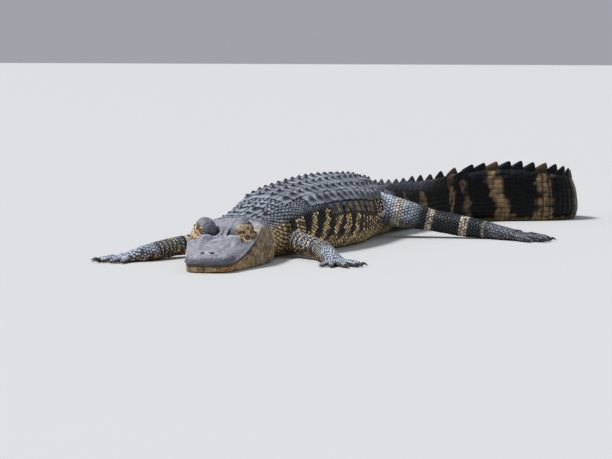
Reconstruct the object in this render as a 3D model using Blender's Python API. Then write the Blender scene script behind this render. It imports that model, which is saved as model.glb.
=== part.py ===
# American alligator, life size, lying on its belly with its limbs spread and its tail curled.
# Metres, +Z up. The trunk lies along +Y with the snout towards -Y and the animal's left at +X.
# The origin is on the floor under the middle of the belly.
# A place on the body is (s, across, up): s metres from the snout tip along the spine, then
# metres to the animal's left of the spine, then metres above the floor.

import math

import bmesh
import bpy
import numpy as np
from mathutils import Matrix, Vector

# Driving sizes
LENGTH = 1.80
HEAD_LENGTH = 0.243
SHOULDER_S = 0.375
BELLY_S = 0.60
HIP_S = 0.80
VENT_S = 0.87
CREST_MEETS_S = 1.285
NODE_GAP = 0.0003
SPINE_STEP = 0.001

# Where the body is parted across, from the neck back
NECK = ("neck", HEAD_LENGTH, 0.362)
TORSO = ("torso", NECK[2], VENT_S)
TAIL_LENGTHS = (
    ("tail_base", VENT_S, 1.08),
    ("tail_middle", 1.08, CREST_MEETS_S),
    ("tail_rear", CREST_MEETS_S, 1.54),
    ("tail_tip", 1.54, LENGTH),
)

# The spine's heading in plan, in degrees from +Y towards +X, at metres from the snout tip
SPINE_HEADINGS = (
    (0.00, -12.0),
    (0.235, -12.0),
    (0.275, 0.0),
    (0.315, 5.0),
    (0.355, 3.0),
    (0.40, 0.0),
    (0.76, 0.0),
    (0.88, 3.0),
    (1.00, 6.0),
    (1.10, 9.5),
    (1.20, 20.0),
    (1.29, 44.0),
    (1.36, 66.0),
    (1.42, 61.0),
    (1.47, 38.0),
    (1.535, -10.0),
    (1.60, -50.0),
    (1.69, -70.0),
    (1.80, -76.0),
)

# Behind the head: s, half width, top, underside, share of the height at the widest level,
# squareness above it, and roll towards the animal's left in degrees
BODY_SECTIONS = (
    (0.243, 0.0720, 0.0735, -0.002, 0.44, 2.3, 0.0),
    (0.275, 0.0635, 0.0765, 0.002, 0.45, 2.0, 0.0),
    (0.315, 0.0635, 0.0845, 0.002, 0.45, 2.0, 0.0),
    (0.360, 0.0710, 0.0975, -0.002, 0.44, 2.2, 0.0),
    (0.420, 0.0810, 0.1090, -0.004, 0.42, 2.3, 1.0),
    (0.500, 0.0900, 0.1160, -0.004, 0.40, 2.2, 3.0),
    (0.580, 0.0950, 0.1200, -0.004, 0.40, 2.1, 7.0),
    (0.660, 0.0910, 0.1220, -0.004, 0.41, 2.1, 10.0),
    (0.730, 0.0810, 0.1210, -0.004, 0.43, 2.1, 12.0),
    (0.790, 0.0710, 0.1180, -0.003, 0.45, 2.1, 12.0),
    (0.850, 0.0620, 0.1085, -0.002, 0.46, 2.2, 9.0),
    (0.920, 0.0550, 0.0975, -0.003, 0.46, 2.9, 4.0),
    (1.000, 0.0480, 0.0885, -0.003, 0.45, 3.8, 1.0),
    (1.100, 0.0410, 0.0855, -0.003, 0.44, 4.0, 0.0),
    (1.200, 0.0350, 0.0895, -0.003, 0.42, 3.4, 0.0),
    (1.285, 0.0300, 0.1045, -0.003, 0.37, 1.9, 0.0),
    (1.360, 0.0245, 0.1110, -0.003, 0.34, 1.6, 0.0),
    (1.440, 0.0205, 0.1060, -0.003, 0.36, 1.6, 0.0),
    (1.520, 0.0175, 0.0920, -0.003, 0.37, 1.6, 0.0),
    (1.600, 0.0145, 0.0710, -0.002, 0.37, 1.6, 0.0),
    (1.680, 0.0110, 0.0500, -0.002, 0.38, 1.7, 0.0),
    (1.750, 0.0075, 0.0290, -0.001, 0.40, 1.8, 0.0),
    (1.790, 0.0048, 0.0140, -0.001, 0.42, 2.0, 0.0),
    (1.800, 0.0024, 0.0070, -0.001, 0.45, 2.0, 0.0),
)
LOWER_SQUARENESS = 2.4
BODY_SIDES = 28
TAIL_SIDES = 20

# The head: s, half width at the upper lip, height of the mouth line, height of the crown
# between the eyes, and half width of the lower jaw where it bulges most
HEAD_SECTIONS = (
    (0.000, 0.0385, 0.0125, 0.0285, 0.0365),
    (0.030, 0.0410, 0.0135, 0.0330, 0.0395),
    (0.060, 0.0452, 0.0175, 0.0365, 0.0445),
    (0.090, 0.0510, 0.0250, 0.0415, 0.0520),
    (0.120, 0.0560, 0.0350, 0.0490, 0.0595),
    (0.145, 0.0590, 0.0440, 0.0560, 0.0650),
    (0.170, 0.0590, 0.0525, 0.0620, 0.0690),
    (0.195, 0.0585, 0.0585, 0.0670, 0.0720),
    (0.220, 0.0590, 0.0615, 0.0700, 0.0740),
    (0.243, 0.0600, 0.0625, 0.0730, 0.0730),
)
SNOUT_ROUNDING = 0.034
SNOUT_SQUARENESS = 2.5
HEAD_SQUARENESS = (2.6, 1.9)
SQUARE_UNTIL = (0.12, 0.19)
HEAD_RINGS = 26
HEAD_SIDES = 22
JAW_RINGS = 22
JAW_SIDES = 16
JAW_START = 0.005
JAW_FLAT = 0.90
LIP_OVERHANG = 0.0026

# Swellings on the head's top: s, across, half length, half width, height, edge power
BROW_RIDGE = (0.128, 0.0290, 0.046, 0.0170, 0.0100, 2.2)
NOSE_DISC = (0.025, 0.0, 0.017, 0.0190, 0.0030, 2.2)
SKULL_TABLE = (0.200, 0.0, 0.046, 0.0330, 0.0035, 5.0)

# Brow domes over the eyes, eyes, lids, nostrils and ears, as (s, across, up) and sizes
BROW_PLACE = (0.148, 0.0308, 0.0590)
BROW_RADII = (0.0188, 0.0290, 0.0225)
BROW_BELOW = 0.40
EYE_RADIUS = 0.0112
EYE_SEAT = 0.0006
EYE_PLACE = (0.1475, 0.0385, 0.0612)
LID_THICKNESS = 0.0018
LID_SLIT_RISE = 38.0
LID_SLIT = (0.0100, 0.0022)
NOSTRIL_PLACE = (0.0165, 0.0080, 0.0295)
NOSTRIL_RADII = (0.0036, 0.0030, 0.0034)
EAR_PLACE = (0.186, 0.0400, 0.0700)
EAR_RADII = (0.0055, 0.0150, 0.0022)

# Trunk shield: rows of keeled plates across, and columns each side of the midline
SHIELD_ROWS = 17
SHIELD_START = 0.377
SHIELD_PITCH = 0.0287
SHIELD_COLUMNS = (
    (0.37, 2.0),
    (0.43, 2.6),
    (0.50, 3.2),
    (0.70, 3.2),
    (0.755, 2.4),
    (0.83, 2.0),
)
COLUMN_PITCH = (
    (0.37, 0.0230),
    (0.50, 0.0265),
    (0.68, 0.0265),
    (0.80, 0.0230),
    (0.87, 0.0220),
)
SHIELD_KEEL = 0.0062
PLATE_RIM = 0.0011
PLATE_SINK = 0.0050

# Tail crests: pitch of the whorls, and height of the blades, at metres from the snout tip
WHORL_PITCH = (
    (0.87, 0.0290),
    (1.28, 0.0270),
    (1.50, 0.0240),
    (1.78, 0.0150),
)
DOUBLE_CREST_HEIGHT = ((0.87, 0.0085), (1.00, 0.0130), (1.16, 0.0150), (1.285, 0.0190))
SINGLE_CREST_HEIGHT = ((1.285, 0.0150), (1.36, 0.0145), (1.55, 0.0140), (1.70, 0.0105), (1.78, 0.0060))
CREST_SPREAD = ((0.87, 0.66), (1.05, 0.80), (1.20, 0.72), (1.285, 0.30))
CREST_THICKNESS = 0.0034

# Neck shield: s, across, half length, half width, keel
NECK_PLATES = (
    (0.277, 0.0120, 0.0125, 0.0100, 0.0080),
    (0.304, 0.0130, 0.0125, 0.0108, 0.0085),
    (0.301, 0.0345, 0.0090, 0.0080, 0.0055),
    (0.276, 0.0325, 0.0080, 0.0070, 0.0045),
    (0.334, 0.0120, 0.0090, 0.0090, 0.0055),
    (0.256, 0.0140, 0.0060, 0.0070, 0.0035),
)

# Limbs: joints as (x, y, z) from the root outwards, in metres; the last is the palm or sole
FORELEG_RADII = (0.0210, 0.0155, 0.0125)
HINDLEG_RADII = (0.0315, 0.0195, 0.0150)
SHOULDER = (0.060, 0.030)
HIP = (0.056, 0.063)
LIMB_JOINTS = {
    "foreleg_left": ((0.134, -0.301, 0.0195), (0.178, -0.366, 0.0130)),
    "foreleg_right": ((-0.122, -0.340, 0.0195), (-0.146, -0.432, 0.0130)),
    "hindleg_left": ((0.159, 0.237, 0.0320), (0.267, 0.246, 0.0160)),
    "hindleg_right": ((-0.152, 0.207, 0.0330), (-0.227, 0.270, 0.0160)),
}
LEG_SIDES = 14
BONE_RINGS = 6

# Feet: heading of the middle in degrees from +X towards +Y, then digits
FOREFOOT_HEADINGS = {"left": -51.0, "right": -132.0}
HINDFOOT_HEADINGS = {"left": -17.0, "right": 146.0}
PALM = (0.034, 0.0165, 0.0085)
SOLE = (0.068, 0.0190, 0.0110)
FORE_DIGITS = (
    (-46.0, 0.034, 0.0050, True),
    (-24.0, 0.044, 0.0052, True),
    (-2.0, 0.047, 0.0052, True),
    (22.0, 0.042, 0.0046, False),
    (46.0, 0.034, 0.0040, False),
)
HIND_DIGITS = (
    (-24.0, 0.056, 0.0068, True),
    (-9.0, 0.074, 0.0070, True),
    (6.0, 0.078, 0.0068, True),
    (22.0, 0.066, 0.0058, False),
)
CLAW = (0.0125, 0.0026)
WEB_THICKNESS = 0.0030
END_LENGTH = 0.0015
DIGIT_SIDES = 8

COLOURS = {
    "hide_dark": ((0.050, 0.052, 0.056, 1.0), 0.55),
    "hide_head": ((0.150, 0.150, 0.165, 1.0), 0.60),
    "jaw": ((0.330, 0.270, 0.150, 1.0), 0.55),
    "eye": ((0.300, 0.220, 0.060, 1.0), 0.08),
    "claw": ((0.030, 0.027, 0.025, 1.0), 0.35),
}


def smooth(table, at):
    """Values of a table of (station, value, ...) rows at a station, on a smooth curve with no overshoot."""
    rows = np.array(table, float)
    stations, values = rows[:, 0], rows[:, 1:]
    slopes = np.diff(values, axis=0) / np.diff(stations)[:, None]
    before, after = slopes[:-1], slopes[1:]
    total = np.where(before * after > 0, before + after, 1.0)
    tangents = np.vstack([slopes[:1], np.where(before * after > 0, 2 * before * after / total, 0.0), slopes[-1:]])
    at = np.clip(at, stations[0], stations[-1])
    i = int(np.clip(np.searchsorted(stations, at) - 1, 0, len(stations) - 2))
    span = stations[i + 1] - stations[i]
    t = (at - stations[i]) / span
    found = (
        (2 * t**3 - 3 * t**2 + 1) * values[i]
        + (t**3 - 2 * t**2 + t) * span * tangents[i]
        + (3 * t**2 - 2 * t**3) * values[i + 1]
        + (t**3 - t**2) * span * tangents[i + 1]
    )
    return found if len(found) > 1 else float(found[0])


def lay_spine():
    """The spine's plan as rows of (s, x, y, heading), with the origin under the middle of the belly."""
    stations = np.arange(0.0, LENGTH + SPINE_STEP, SPINE_STEP)
    headings = np.radians([smooth(SPINE_HEADINGS, s) for s in stations])
    steps = np.column_stack([np.sin(headings), np.cos(headings)]) * SPINE_STEP
    places = np.vstack([[0.0, 0.0], np.cumsum(steps, axis=0)[:-1]])
    middle = np.searchsorted(stations, BELLY_S)
    places -= places[middle]
    return np.column_stack([stations, places, headings])


SPINE = lay_spine()


def spine_at(s):
    """Place and heading of the spine at s."""
    return [float(np.interp(s, SPINE[:, 0], SPINE[:, i])) for i in (1, 2, 3)]


def on_body(s, across, up):
    """World place of a point given in body terms."""
    x, y, heading = spine_at(s)
    return Vector((x + across * math.cos(heading), y - across * math.sin(heading), up))


def signed_power(value, power):
    return math.copysign(abs(value) ** power, value)


def body_section(s, count):
    """Points (across, up) round the body at s, from the middle of the underside by the left side."""
    width, top, low, level, square, roll = smooth(BODY_SECTIONS, s)
    middle = low + (top - low) * level
    turn = math.radians(roll)
    points = []
    for k in range(count):
        angle = 2 * math.pi * k / count
        out, rise = math.sin(angle), -math.cos(angle)
        power = 2 / (square if rise > 0 else LOWER_SQUARENESS)
        across = width * signed_power(out, power)
        up = signed_power(rise, power) * ((top - middle) if rise > 0 else (middle - low))
        across, up = (
            across * math.cos(turn) + up * math.sin(turn),
            middle + up * math.cos(turn) - across * math.sin(turn),
        )
        points.append((across, max(up, 0.0)))
    return points


def back_place(s, along_skin):
    """Place and outward direction on the back, metres along the skin to the left of the midline."""
    dense = 160
    ring = body_section(s, dense)
    top = dense // 2
    step = -1 if along_skin > 0 else 1
    left, i = abs(along_skin), top
    while True:
        a, b = np.array(ring[i % dense]), np.array(ring[(i + step) % dense])
        span = float(np.linalg.norm(b - a))
        if span >= left or i in (0, dense):
            break
        left, i = left - span, i + step
    found = a + (b - a) * min(left / max(span, 1e-9), 1.0)
    run = (b - a) / max(span, 1e-9)
    normal = np.array([-run[1], run[0]]) * -step
    heading = spine_at(s)[2]
    outward = Vector((normal[0] * math.cos(heading), -normal[0] * math.sin(heading), normal[1]))
    return on_body(s, *found), outward.normalized()


def mesh_object(name, points, faces):
    mesh = bpy.data.meshes.new(name)
    mesh.from_pydata([tuple(p) for p in points], [], faces)
    mesh.update()
    obj = bpy.data.objects.new(name, mesh)
    bpy.context.scene.collection.objects.link(obj)
    return obj


def loft(name, rings):
    """A closed solid through rings of points, with each end closed by a fan."""
    count = len(rings[0])
    points = [p for ring in rings for p in ring]
    faces = []
    for i in range(len(rings) - 1):
        for k in range(count):
            a, b = i * count + k, i * count + (k + 1) % count
            faces.append((a, b, b + count, a + count))
    for ring_index, flip in ((0, True), (len(rings) - 1, False)):
        centre = len(points)
        points.append(sum((Vector(p) for p in rings[ring_index]), Vector()) / count)
        for k in range(count):
            a, b = ring_index * count + k, ring_index * count + (k + 1) % count
            faces.append((b, a, centre) if flip else (a, b, centre))
    obj = mesh_object(name, points, faces)
    face_outwards(obj)
    return obj


def face_outwards(obj):
    work = bmesh.new()
    work.from_mesh(obj.data)
    bmesh.ops.remove_doubles(work, verts=work.verts, dist=1e-6)
    bmesh.ops.recalc_face_normals(work, faces=work.faces)
    work.to_mesh(obj.data)
    work.free()


def apply_boolean(obj, operation, others):
    """Joins or cuts obj with the other objects, which are then removed."""
    tools = bpy.data.collections.new(obj.name + "_tools")
    for other in others:
        tools.objects.link(other)
    modifier = obj.modifiers.new(operation.title(), "BOOLEAN")
    modifier.operation = operation
    modifier.operand_type = "COLLECTION"
    modifier.collection = tools
    modifier.solver = "EXACT"
    graph = bpy.context.evaluated_depsgraph_get()
    mesh = bpy.data.meshes.new_from_object(obj.evaluated_get(graph))
    obj.modifiers.clear()
    obj.data = mesh
    for other in others:
        bpy.data.objects.remove(other)
    bpy.data.collections.remove(tools)
    keep_largest_surface(obj)


def keep_largest_surface(obj):
    """Drops every loose closed surface but the largest."""
    work = bmesh.new()
    work.from_mesh(obj.data)
    bmesh.ops.remove_doubles(work, verts=work.verts, dist=2e-6)
    left, shells = set(work.verts), []
    while left:
        stack, shell = [left.pop()], []
        while stack:
            vert = stack.pop()
            shell.append(vert)
            for edge in vert.link_edges:
                other = edge.other_vert(vert)
                if other in left:
                    left.discard(other)
                    stack.append(other)
        shells.append(shell)
    shells.sort(key=len)
    bmesh.ops.delete(work, geom=[v for shell in shells[:-1] for v in shell], context="VERTS")
    work.to_mesh(obj.data)
    work.free()


def plate(name, place, outward, back, size, keel, apex=0.30, rim=PLATE_RIM):
    """A keeled plate sunk in the skin: a low rim, and a keel that rises to an apex near its rear edge."""
    half_length, half_width = size
    side = back.cross(outward).normalized()
    back = outward.cross(side).normalized()
    corners = ((-1, -1), (1, -1), (1, 1), (-1, 1))
    low = [(half_width * a * 0.94, half_length * b * 0.94, -PLATE_SINK) for a, b in corners]
    edge = [(half_width * a, half_length * b, rim) for a, b in corners]
    ridge = [(0.0, -0.72 * half_length, rim + 0.22 * keel), (0.0, apex * 2 * half_length, rim + keel)]
    points = [place + side * x + back * y + outward * z for x, y, z in low + edge + ridge]
    faces = [(3, 2, 1, 0)]
    faces += [(k, (k + 1) % 4, 4 + (k + 1) % 4, 4 + k) for k in range(4)]
    faces += [(4, 5, 8), (5, 6, 9), (5, 9, 8), (6, 7, 9), (7, 4, 8), (7, 8, 9)]
    obj = mesh_object(name, points, faces)
    face_outwards(obj)
    return obj


def backwards(s):
    heading = spine_at(s)[2]
    return Vector((math.sin(heading), math.cos(heading), 0.0))


def body_rings(start, end, pitch, sides):
    steps = max(2, round((end - start) / pitch))
    stations = np.linspace(start + NODE_GAP / 2, end - NODE_GAP / 2, steps + 1)
    return [[on_body(s, *p) for p in body_section(s, sides)] for s in stations]


def make_neck():
    name, start, end = NECK
    neck = loft(name, body_rings(start, end, 0.020, BODY_SIDES))
    plates = []
    for s, across, half_length, half_width, keel in NECK_PLATES:
        for side in (1, -1):
            place, outward = back_place(s, side * across)
            plates.append(plate("plate", place, outward, backwards(s), (half_length, half_width), keel))
    apply_boolean(neck, "UNION", plates)
    return neck


def make_torso():
    name, start, end = TORSO
    torso = loft(name, body_rings(start, end, 0.028, BODY_SIDES))
    plates = []
    for row in range(SHIELD_ROWS):
        s = SHIELD_START + row * SHIELD_PITCH
        if s + SHIELD_PITCH / 2 > end:
            break
        columns = round(smooth(SHIELD_COLUMNS, s))
        pitch = smooth(COLUMN_PITCH, s)
        for column in range(columns):
            for side in (1, -1):
                along = side * (column + 0.5) * pitch
                place, outward = back_place(s, along)
                size = (SHIELD_PITCH * 0.455, pitch * (0.44 - 0.02 * column))
                keel = SHIELD_KEEL * (1.0 - 0.10 * column)
                plates.append(plate("plate", place, outward, backwards(s), size, keel))
    apply_boolean(torso, "UNION", plates)
    return torso


def whorl_stations():
    """Stations of the tail's whorls, from the vent to the tip."""
    stations, s = [], VENT_S + 0.016
    while s < LENGTH - 0.03:
        stations.append(s)
        s += smooth(WHORL_PITCH, s)
    return stations


def tail_blades(start, end):
    blades = []
    for s in whorl_stations():
        if not start < s < end:
            continue
        half_length = smooth(WHORL_PITCH, s) * 0.47
        if s < CREST_MEETS_S - 0.006:
            width = smooth(BODY_SECTIONS, s)[0]
            height = smooth(DOUBLE_CREST_HEIGHT, s)
            places = [side * width * smooth(CREST_SPREAD, s) for side in (1, -1)]
        else:
            height, places = smooth(SINGLE_CREST_HEIGHT, s), [0.0]
        for along in places:
            place, outward = back_place(s, along)
            lean = Vector((0, 0, 1)).lerp(outward, 0.55).normalized()
            size = (half_length, CREST_THICKNESS)
            blades.append(plate("blade", place, lean, backwards(s), size, height, apex=0.44, rim=0.0006))
    return blades


def between_whorls(s):
    """The station nearest to s that lies half way between two whorls."""
    stations = whorl_stations()
    gaps = [(a + b) / 2 for a, b in zip(stations, stations[1:])]
    return min(gaps, key=lambda gap: abs(gap - s))


def make_tail():
    made = []
    for name, start, end in TAIL_LENGTHS:
        start = start if start == VENT_S else between_whorls(start)
        end = end if end == LENGTH else between_whorls(end)
        length = loft(name, body_rings(start, end, 0.024, TAIL_SIDES))
        apply_boolean(length, "UNION", tail_blades(start, end))
        made.append(length)
    return made


def swelling(shape, s, across):
    """Height that one rounded swelling adds at a place on the head."""
    centre_s, centre_across, half_length, half_width, height, power = shape
    reach = ((s - centre_s) / half_length) ** 2 + ((abs(across) - centre_across) / half_width) ** 2
    return height * max(0.0, 1.0 - reach ** (power / 2)) ** 0.75


def snout_front(s):
    """Share of the full width that the rounded snout has at s."""
    gone = 1.0 - min(s, SNOUT_ROUNDING) / SNOUT_ROUNDING
    return (1.0 - gone**SNOUT_SQUARENESS) ** (1 / SNOUT_SQUARENESS)


def head_ring(s):
    """Points round the skull at s, over the top from the left lip to the right, and back along the palate."""
    width, mouth, crown, _ = smooth(HEAD_SECTIONS, s)
    width *= snout_front(s)
    crown = mouth + (crown - mouth) * snout_front(s) ** 0.7
    squareness = np.interp(s, SQUARE_UNTIL, HEAD_SQUARENESS)
    points = []
    for k in range(HEAD_SIDES + 1):
        angle = math.pi * k / HEAD_SIDES
        across = width * signed_power(math.cos(angle), 2 / squareness)
        rise = max(0.0, math.sin(angle)) ** (2 / squareness)
        up = mouth + (crown - mouth) * rise
        for shape in (BROW_RIDGE, NOSE_DISC, SKULL_TABLE):
            up += swelling(shape, s, across) * min(1.0, rise * 1.6)
        points.append((across, up))
    palate = 5
    points += [(width * (2 * k / (palate + 1) - 1), mouth) for k in range(1, palate + 1)]
    return [on_body(s, *p) for p in points]


def jaw_ring(s):
    """Points round the lower jaw at s: its flat top under the palate, its sides, and its flat underside."""
    lip, mouth, _, bulge = smooth(HEAD_SECTIONS, s)
    front = snout_front(s - JAW_START * 0.6)
    lip, bulge = max(lip * front - LIP_OVERHANG, 0.004), max(bulge * front - LIP_OVERHANG / 2, 0.004)
    top = mouth - NODE_GAP
    tuck = 0.0035 * (1.0 - snout_front(s))
    points = []
    for k in range(JAW_SIDES + 1):
        share = 1.0 - abs(2 * k / JAW_SIDES - 1)
        side = -1 if k < JAW_SIDES / 2 else 1
        across, up = jaw_profile(lip, bulge, top, share)
        points.append((side * across, max(0.0, up + tuck * share)))
    points += [(lip * (1 - 2 * k / 4), top) for k in range(1, 4)]
    return [on_body(s, *p) for p in points]


def jaw_profile(lip, bulge, top, share):
    """Half width and height at a share of the way from the lip, down the side, to the middle below."""
    rows = (
        (0.00, lip, top),
        (0.25, lip + (bulge - lip) * 0.70, top * 0.72),
        (0.45, bulge, top * 0.36),
        (0.62, bulge * 0.985, top * 0.10),
        (0.75, bulge * JAW_FLAT, 0.0),
        (1.00, 0.0, 0.0),
    )
    return smooth(rows, share)


def ball(name, centre, radii, turn=0.0, below=1.0):
    """A closed ellipsoid with its second axis turned about Z by turn radians, its lower half flattened by below."""
    work = bmesh.new()
    bmesh.ops.create_uvsphere(work, u_segments=12, v_segments=7, radius=1.0)
    matrix = Matrix.Translation(centre) @ Matrix.Rotation(turn, 4, "Z") @ Matrix.Diagonal((*radii, 1.0))
    bmesh.ops.transform(work, matrix=matrix, verts=work.verts)
    for vert in work.verts:
        if vert.co.z < centre.z:
            vert.co.z = centre.z + (vert.co.z - centre.z) * below
    mesh = bpy.data.meshes.new(name)
    work.to_mesh(mesh)
    work.free()
    obj = bpy.data.objects.new(name, mesh)
    bpy.context.scene.collection.objects.link(obj)
    return obj


def make_head():
    """Skull with brows, lids round each eye's seat, nostrils and ear slits; then the lower jaw and the eyes."""
    stations = [0.0008, 0.0030, 0.0070, 0.0120] + list(np.linspace(0.018, HEAD_LENGTH - NODE_GAP / 2, HEAD_RINGS - 4))
    head = loft("head", [head_ring(s) for s in stations])
    turn = -spine_at(0.1)[2]
    shell = EYE_RADIUS + EYE_SEAT + LID_THICKNESS
    rise = math.radians(LID_SLIT_RISE)
    domes, hollows, eyes = [], [], []
    for side, word in ((1, "left"), (-1, "right")):
        s, across, up = EYE_PLACE
        centre = on_body(s, side * across, up)
        brow = on_body(BROW_PLACE[0], side * BROW_PLACE[1], BROW_PLACE[2])
        domes.append(ball("brow", brow, BROW_RADII, turn, BROW_BELOW))
        domes.append(ball("lids", centre, (shell,) * 3, turn))
        hollows.append(ball("seat", centre, (EYE_RADIUS + EYE_SEAT,) * 3, turn))
        slit = on_body(s, side * (across + shell * math.cos(rise)), up + shell * math.sin(rise))
        hollows.append(ball("slit", slit, (shell * 0.62, LID_SLIT[0], LID_SLIT[1]), turn))
        eyes.append(ball("eye_" + word, centre, (EYE_RADIUS,) * 3, turn))
        s, across, up = NOSTRIL_PLACE
        hollows.append(ball("nostril", on_body(s, side * across, up), NOSTRIL_RADII, turn))
        s, across, up = EAR_PLACE
        hollows.append(ball("ear", on_body(s, side * across, up), EAR_RADII, turn))
    apply_boolean(head, "UNION", domes)
    apply_boolean(head, "DIFFERENCE", hollows)
    stations = [JAW_START, JAW_START + 0.003] + list(
        np.linspace(JAW_START + 0.008, HEAD_LENGTH - NODE_GAP / 2, JAW_RINGS - 2)
    )
    jaw = loft("lower_jaw", [jaw_ring(s) for s in stations])
    return [head, jaw] + eyes


def tube(name, centres, radii, sides, flatten=1.0):
    """A tube through centres with its own radius at each, kept above the floor."""
    centres = [Vector(c) for c in centres]
    rings = []
    for i, centre in enumerate(centres):
        ahead = centres[min(i + 1, len(centres) - 1)] - centres[max(i - 1, 0)]
        ahead.normalize()
        side = ahead.cross(Vector((0, 0, 1))).normalized()
        up = side.cross(ahead).normalized()
        ring = []
        for k in range(sides):
            angle = 2 * math.pi * (k + 0.5) / sides
            point = centre + side * radii[i] * math.cos(angle) + up * radii[i] * flatten * math.sin(angle)
            point.z = max(point.z, 0.0)
            ring.append(point)
        rings.append(ring)
    return loft(name, rings)


def limb_root(kind, side):
    across, up = SHOULDER if kind == "fore" else HIP
    s = SHOULDER_S if kind == "fore" else HIP_S
    return on_body(s, side * across * 0.5, up), on_body(s, side * across, up)


def bone(name, start, end, radii, bulge):
    """One tapered length of a limb with a soft belly in its middle and rounded ends."""
    start, end = Vector(start), Vector(end)
    shares = np.linspace(0.0, 1.0, BONE_RINGS)
    centres = [start.lerp(end, t) for t in shares]
    sizes = [radii[0] + (radii[1] - radii[0]) * t + bulge * math.sin(math.pi * t) for t in shares]
    ahead = (end - start).normalized()
    centres = [start - ahead * radii[0] * 0.6] + centres + [end + ahead * radii[1] * 0.55]
    sizes = [sizes[0] * 0.72] + sizes + [sizes[-1] * 0.75]
    return tube(name, centres, sizes, LEG_SIDES)


def make_leg(kind, word, torso_cutter):
    side = 1 if word == "left" else -1
    name = f"{kind}leg_{word}"
    inner, root = limb_root(kind, side)
    middle, last = (Vector(p) for p in LIMB_JOINTS[name])
    radii = FORELEG_RADII if kind == "fore" else HINDLEG_RADII
    upper = bone(name, inner, middle, (radii[0], radii[1]), radii[0] * 0.04)
    heading = foot_heading(kind, word)
    lower = wrist_length(name + "_lower", middle, last, heading, radii)
    apply_boolean(upper, "UNION", [lower])
    apply_boolean(upper, "DIFFERENCE", [torso_cutter])
    return upper


def foot_heading(kind, word):
    table = FOREFOOT_HEADINGS if kind == "fore" else HINDFOOT_HEADINGS
    angle = math.radians(table[word])
    return Vector((math.cos(angle), math.sin(angle), 0.0))


def wrist_length(name, start, end, heading, radii):
    """The lower length of a limb, ending in a flat face square to the foot."""
    bend = (end - start).length * 0.5
    centres, sizes = [], []
    for t in np.linspace(0.0, 0.9, BONE_RINGS + 1):
        straight = start.lerp(end, t)
        into = end - heading * bend * (1 - t)
        centres.append(straight.lerp(into, t * t))
        sizes.append(radii[1] + (radii[2] - radii[1]) * t + radii[1] * 0.08 * math.sin(math.pi * t))
    ahead = (centres[1] - centres[0]).normalized()
    centres = [centres[0] - ahead * radii[1] * 0.6] + centres + [end - heading * END_LENGTH, end]
    sizes = [sizes[0] * 0.7] + sizes + [radii[2], radii[2]]
    return tube(name, centres, sizes, LEG_SIDES)


def make_foot(kind, word):
    """Palm or sole with its digits, and a claw on each of the three inner digits."""
    side = 1 if word == "left" else -1
    heading = foot_heading(kind, word)
    name = f"{kind}leg_{word}"
    wrist = Vector(LIMB_JOINTS[name][1])
    radii = FORELEG_RADII if kind == "fore" else HINDLEG_RADII
    length, half_width, half_height = PALM if kind == "fore" else SOLE
    digits = FORE_DIGITS if kind == "fore" else HIND_DIGITS
    left = Vector((-heading.y, heading.x, 0.0))
    start = wrist + heading * NODE_GAP
    rings = []
    for t in (0.0, 0.25, 0.5, 0.75, 1.0, 1.12):
        centre = start + heading * length * t
        wide = radii[2] + (half_width - radii[2]) * min(1.0, t * 1.3)
        high = radii[2] + (half_height - radii[2]) * min(1.0, t * 1.2)
        if t > 1.0:
            wide, high = wide * 0.8, high * 0.6
        level = wrist.z + (half_height * 0.86 - wrist.z) * min(1.0, t * 1.2)
        ring = []
        for k in range(LEG_SIDES):
            angle = 2 * math.pi * (k + 0.5) / LEG_SIDES
            point = centre + left * wide * math.cos(angle)
            point.z = max(0.0, level + high * math.sin(angle))
            ring.append(point)
        rings.append(ring)
    foot = loft(f"{kind}foot_{word}", rings)
    pieces, claws = [], []
    tips = []
    for i, (angle, reach, radius, clawed) in enumerate(digits):
        turn = math.radians(angle) * -side
        ahead = Matrix.Rotation(turn, 3, "Z") @ heading
        root = start + heading * length * 0.80 + left * half_width * 0.72 * math.sin(turn) / math.sin(math.radians(46))
        root.z = half_height * 0.72
        knuckle = root + ahead * reach * 0.55
        knuckle.z = radius * 1.15
        tip = root + ahead * reach
        tip.z = radius * 0.72
        before = tip - ahead * END_LENGTH
        centres = [root, root.lerp(knuckle, 0.5), knuckle, knuckle.lerp(before, 0.6), before, tip]
        sizes = [radius * share for share in (1.15, 1.10, 1.08, 0.94, 0.72, 0.64)]
        pieces.append(tube("digit", centres, sizes, DIGIT_SIDES))
        tips.append((root, knuckle, tip, radius))
        if clawed:
            claws.append(make_claw(f"claw_{kind}_{word}_{i + 1}", tip + ahead * NODE_GAP, ahead))
    if kind == "hind":
        for (root_a, _, tip_a, _), (root_b, _, tip_b, _) in zip(tips, tips[1:]):
            pieces.append(web(root_a, tip_a, root_b, tip_b))
    apply_boolean(foot, "UNION", pieces)
    return [foot] + claws


def web(root_a, tip_a, root_b, tip_b):
    """The fold of skin between two toes, reaching less than half way along them."""
    reach = 0.52
    outline = [root_a, root_a.lerp(tip_a, reach), root_b.lerp(tip_b, reach), root_b]
    low = [Vector((p.x, p.y, 0.0012)) for p in outline]
    high = [Vector((p.x, p.y, 0.0012 + WEB_THICKNESS)) for p in outline]
    faces = [(3, 2, 1, 0), (4, 5, 6, 7)] + [(k, (k + 1) % 4, 4 + (k + 1) % 4, 4 + k) for k in range(4)]
    obj = mesh_object("web", low + high, faces)
    face_outwards(obj)
    return obj


def make_claw(name, root, ahead):
    length, radius = CLAW
    shares = (0.0, 0.12, 0.45, 0.75, 1.0)
    arch = (0.0, 0.0, 0.0010, 0.0005, -0.0012)
    centres = [root + ahead * length * t + Vector((0, 0, rise)) for t, rise in zip(shares, arch)]
    sizes = [radius * (1.0 - 0.80 * t) for t in shares]
    return tube(name, centres, sizes, 6)


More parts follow.
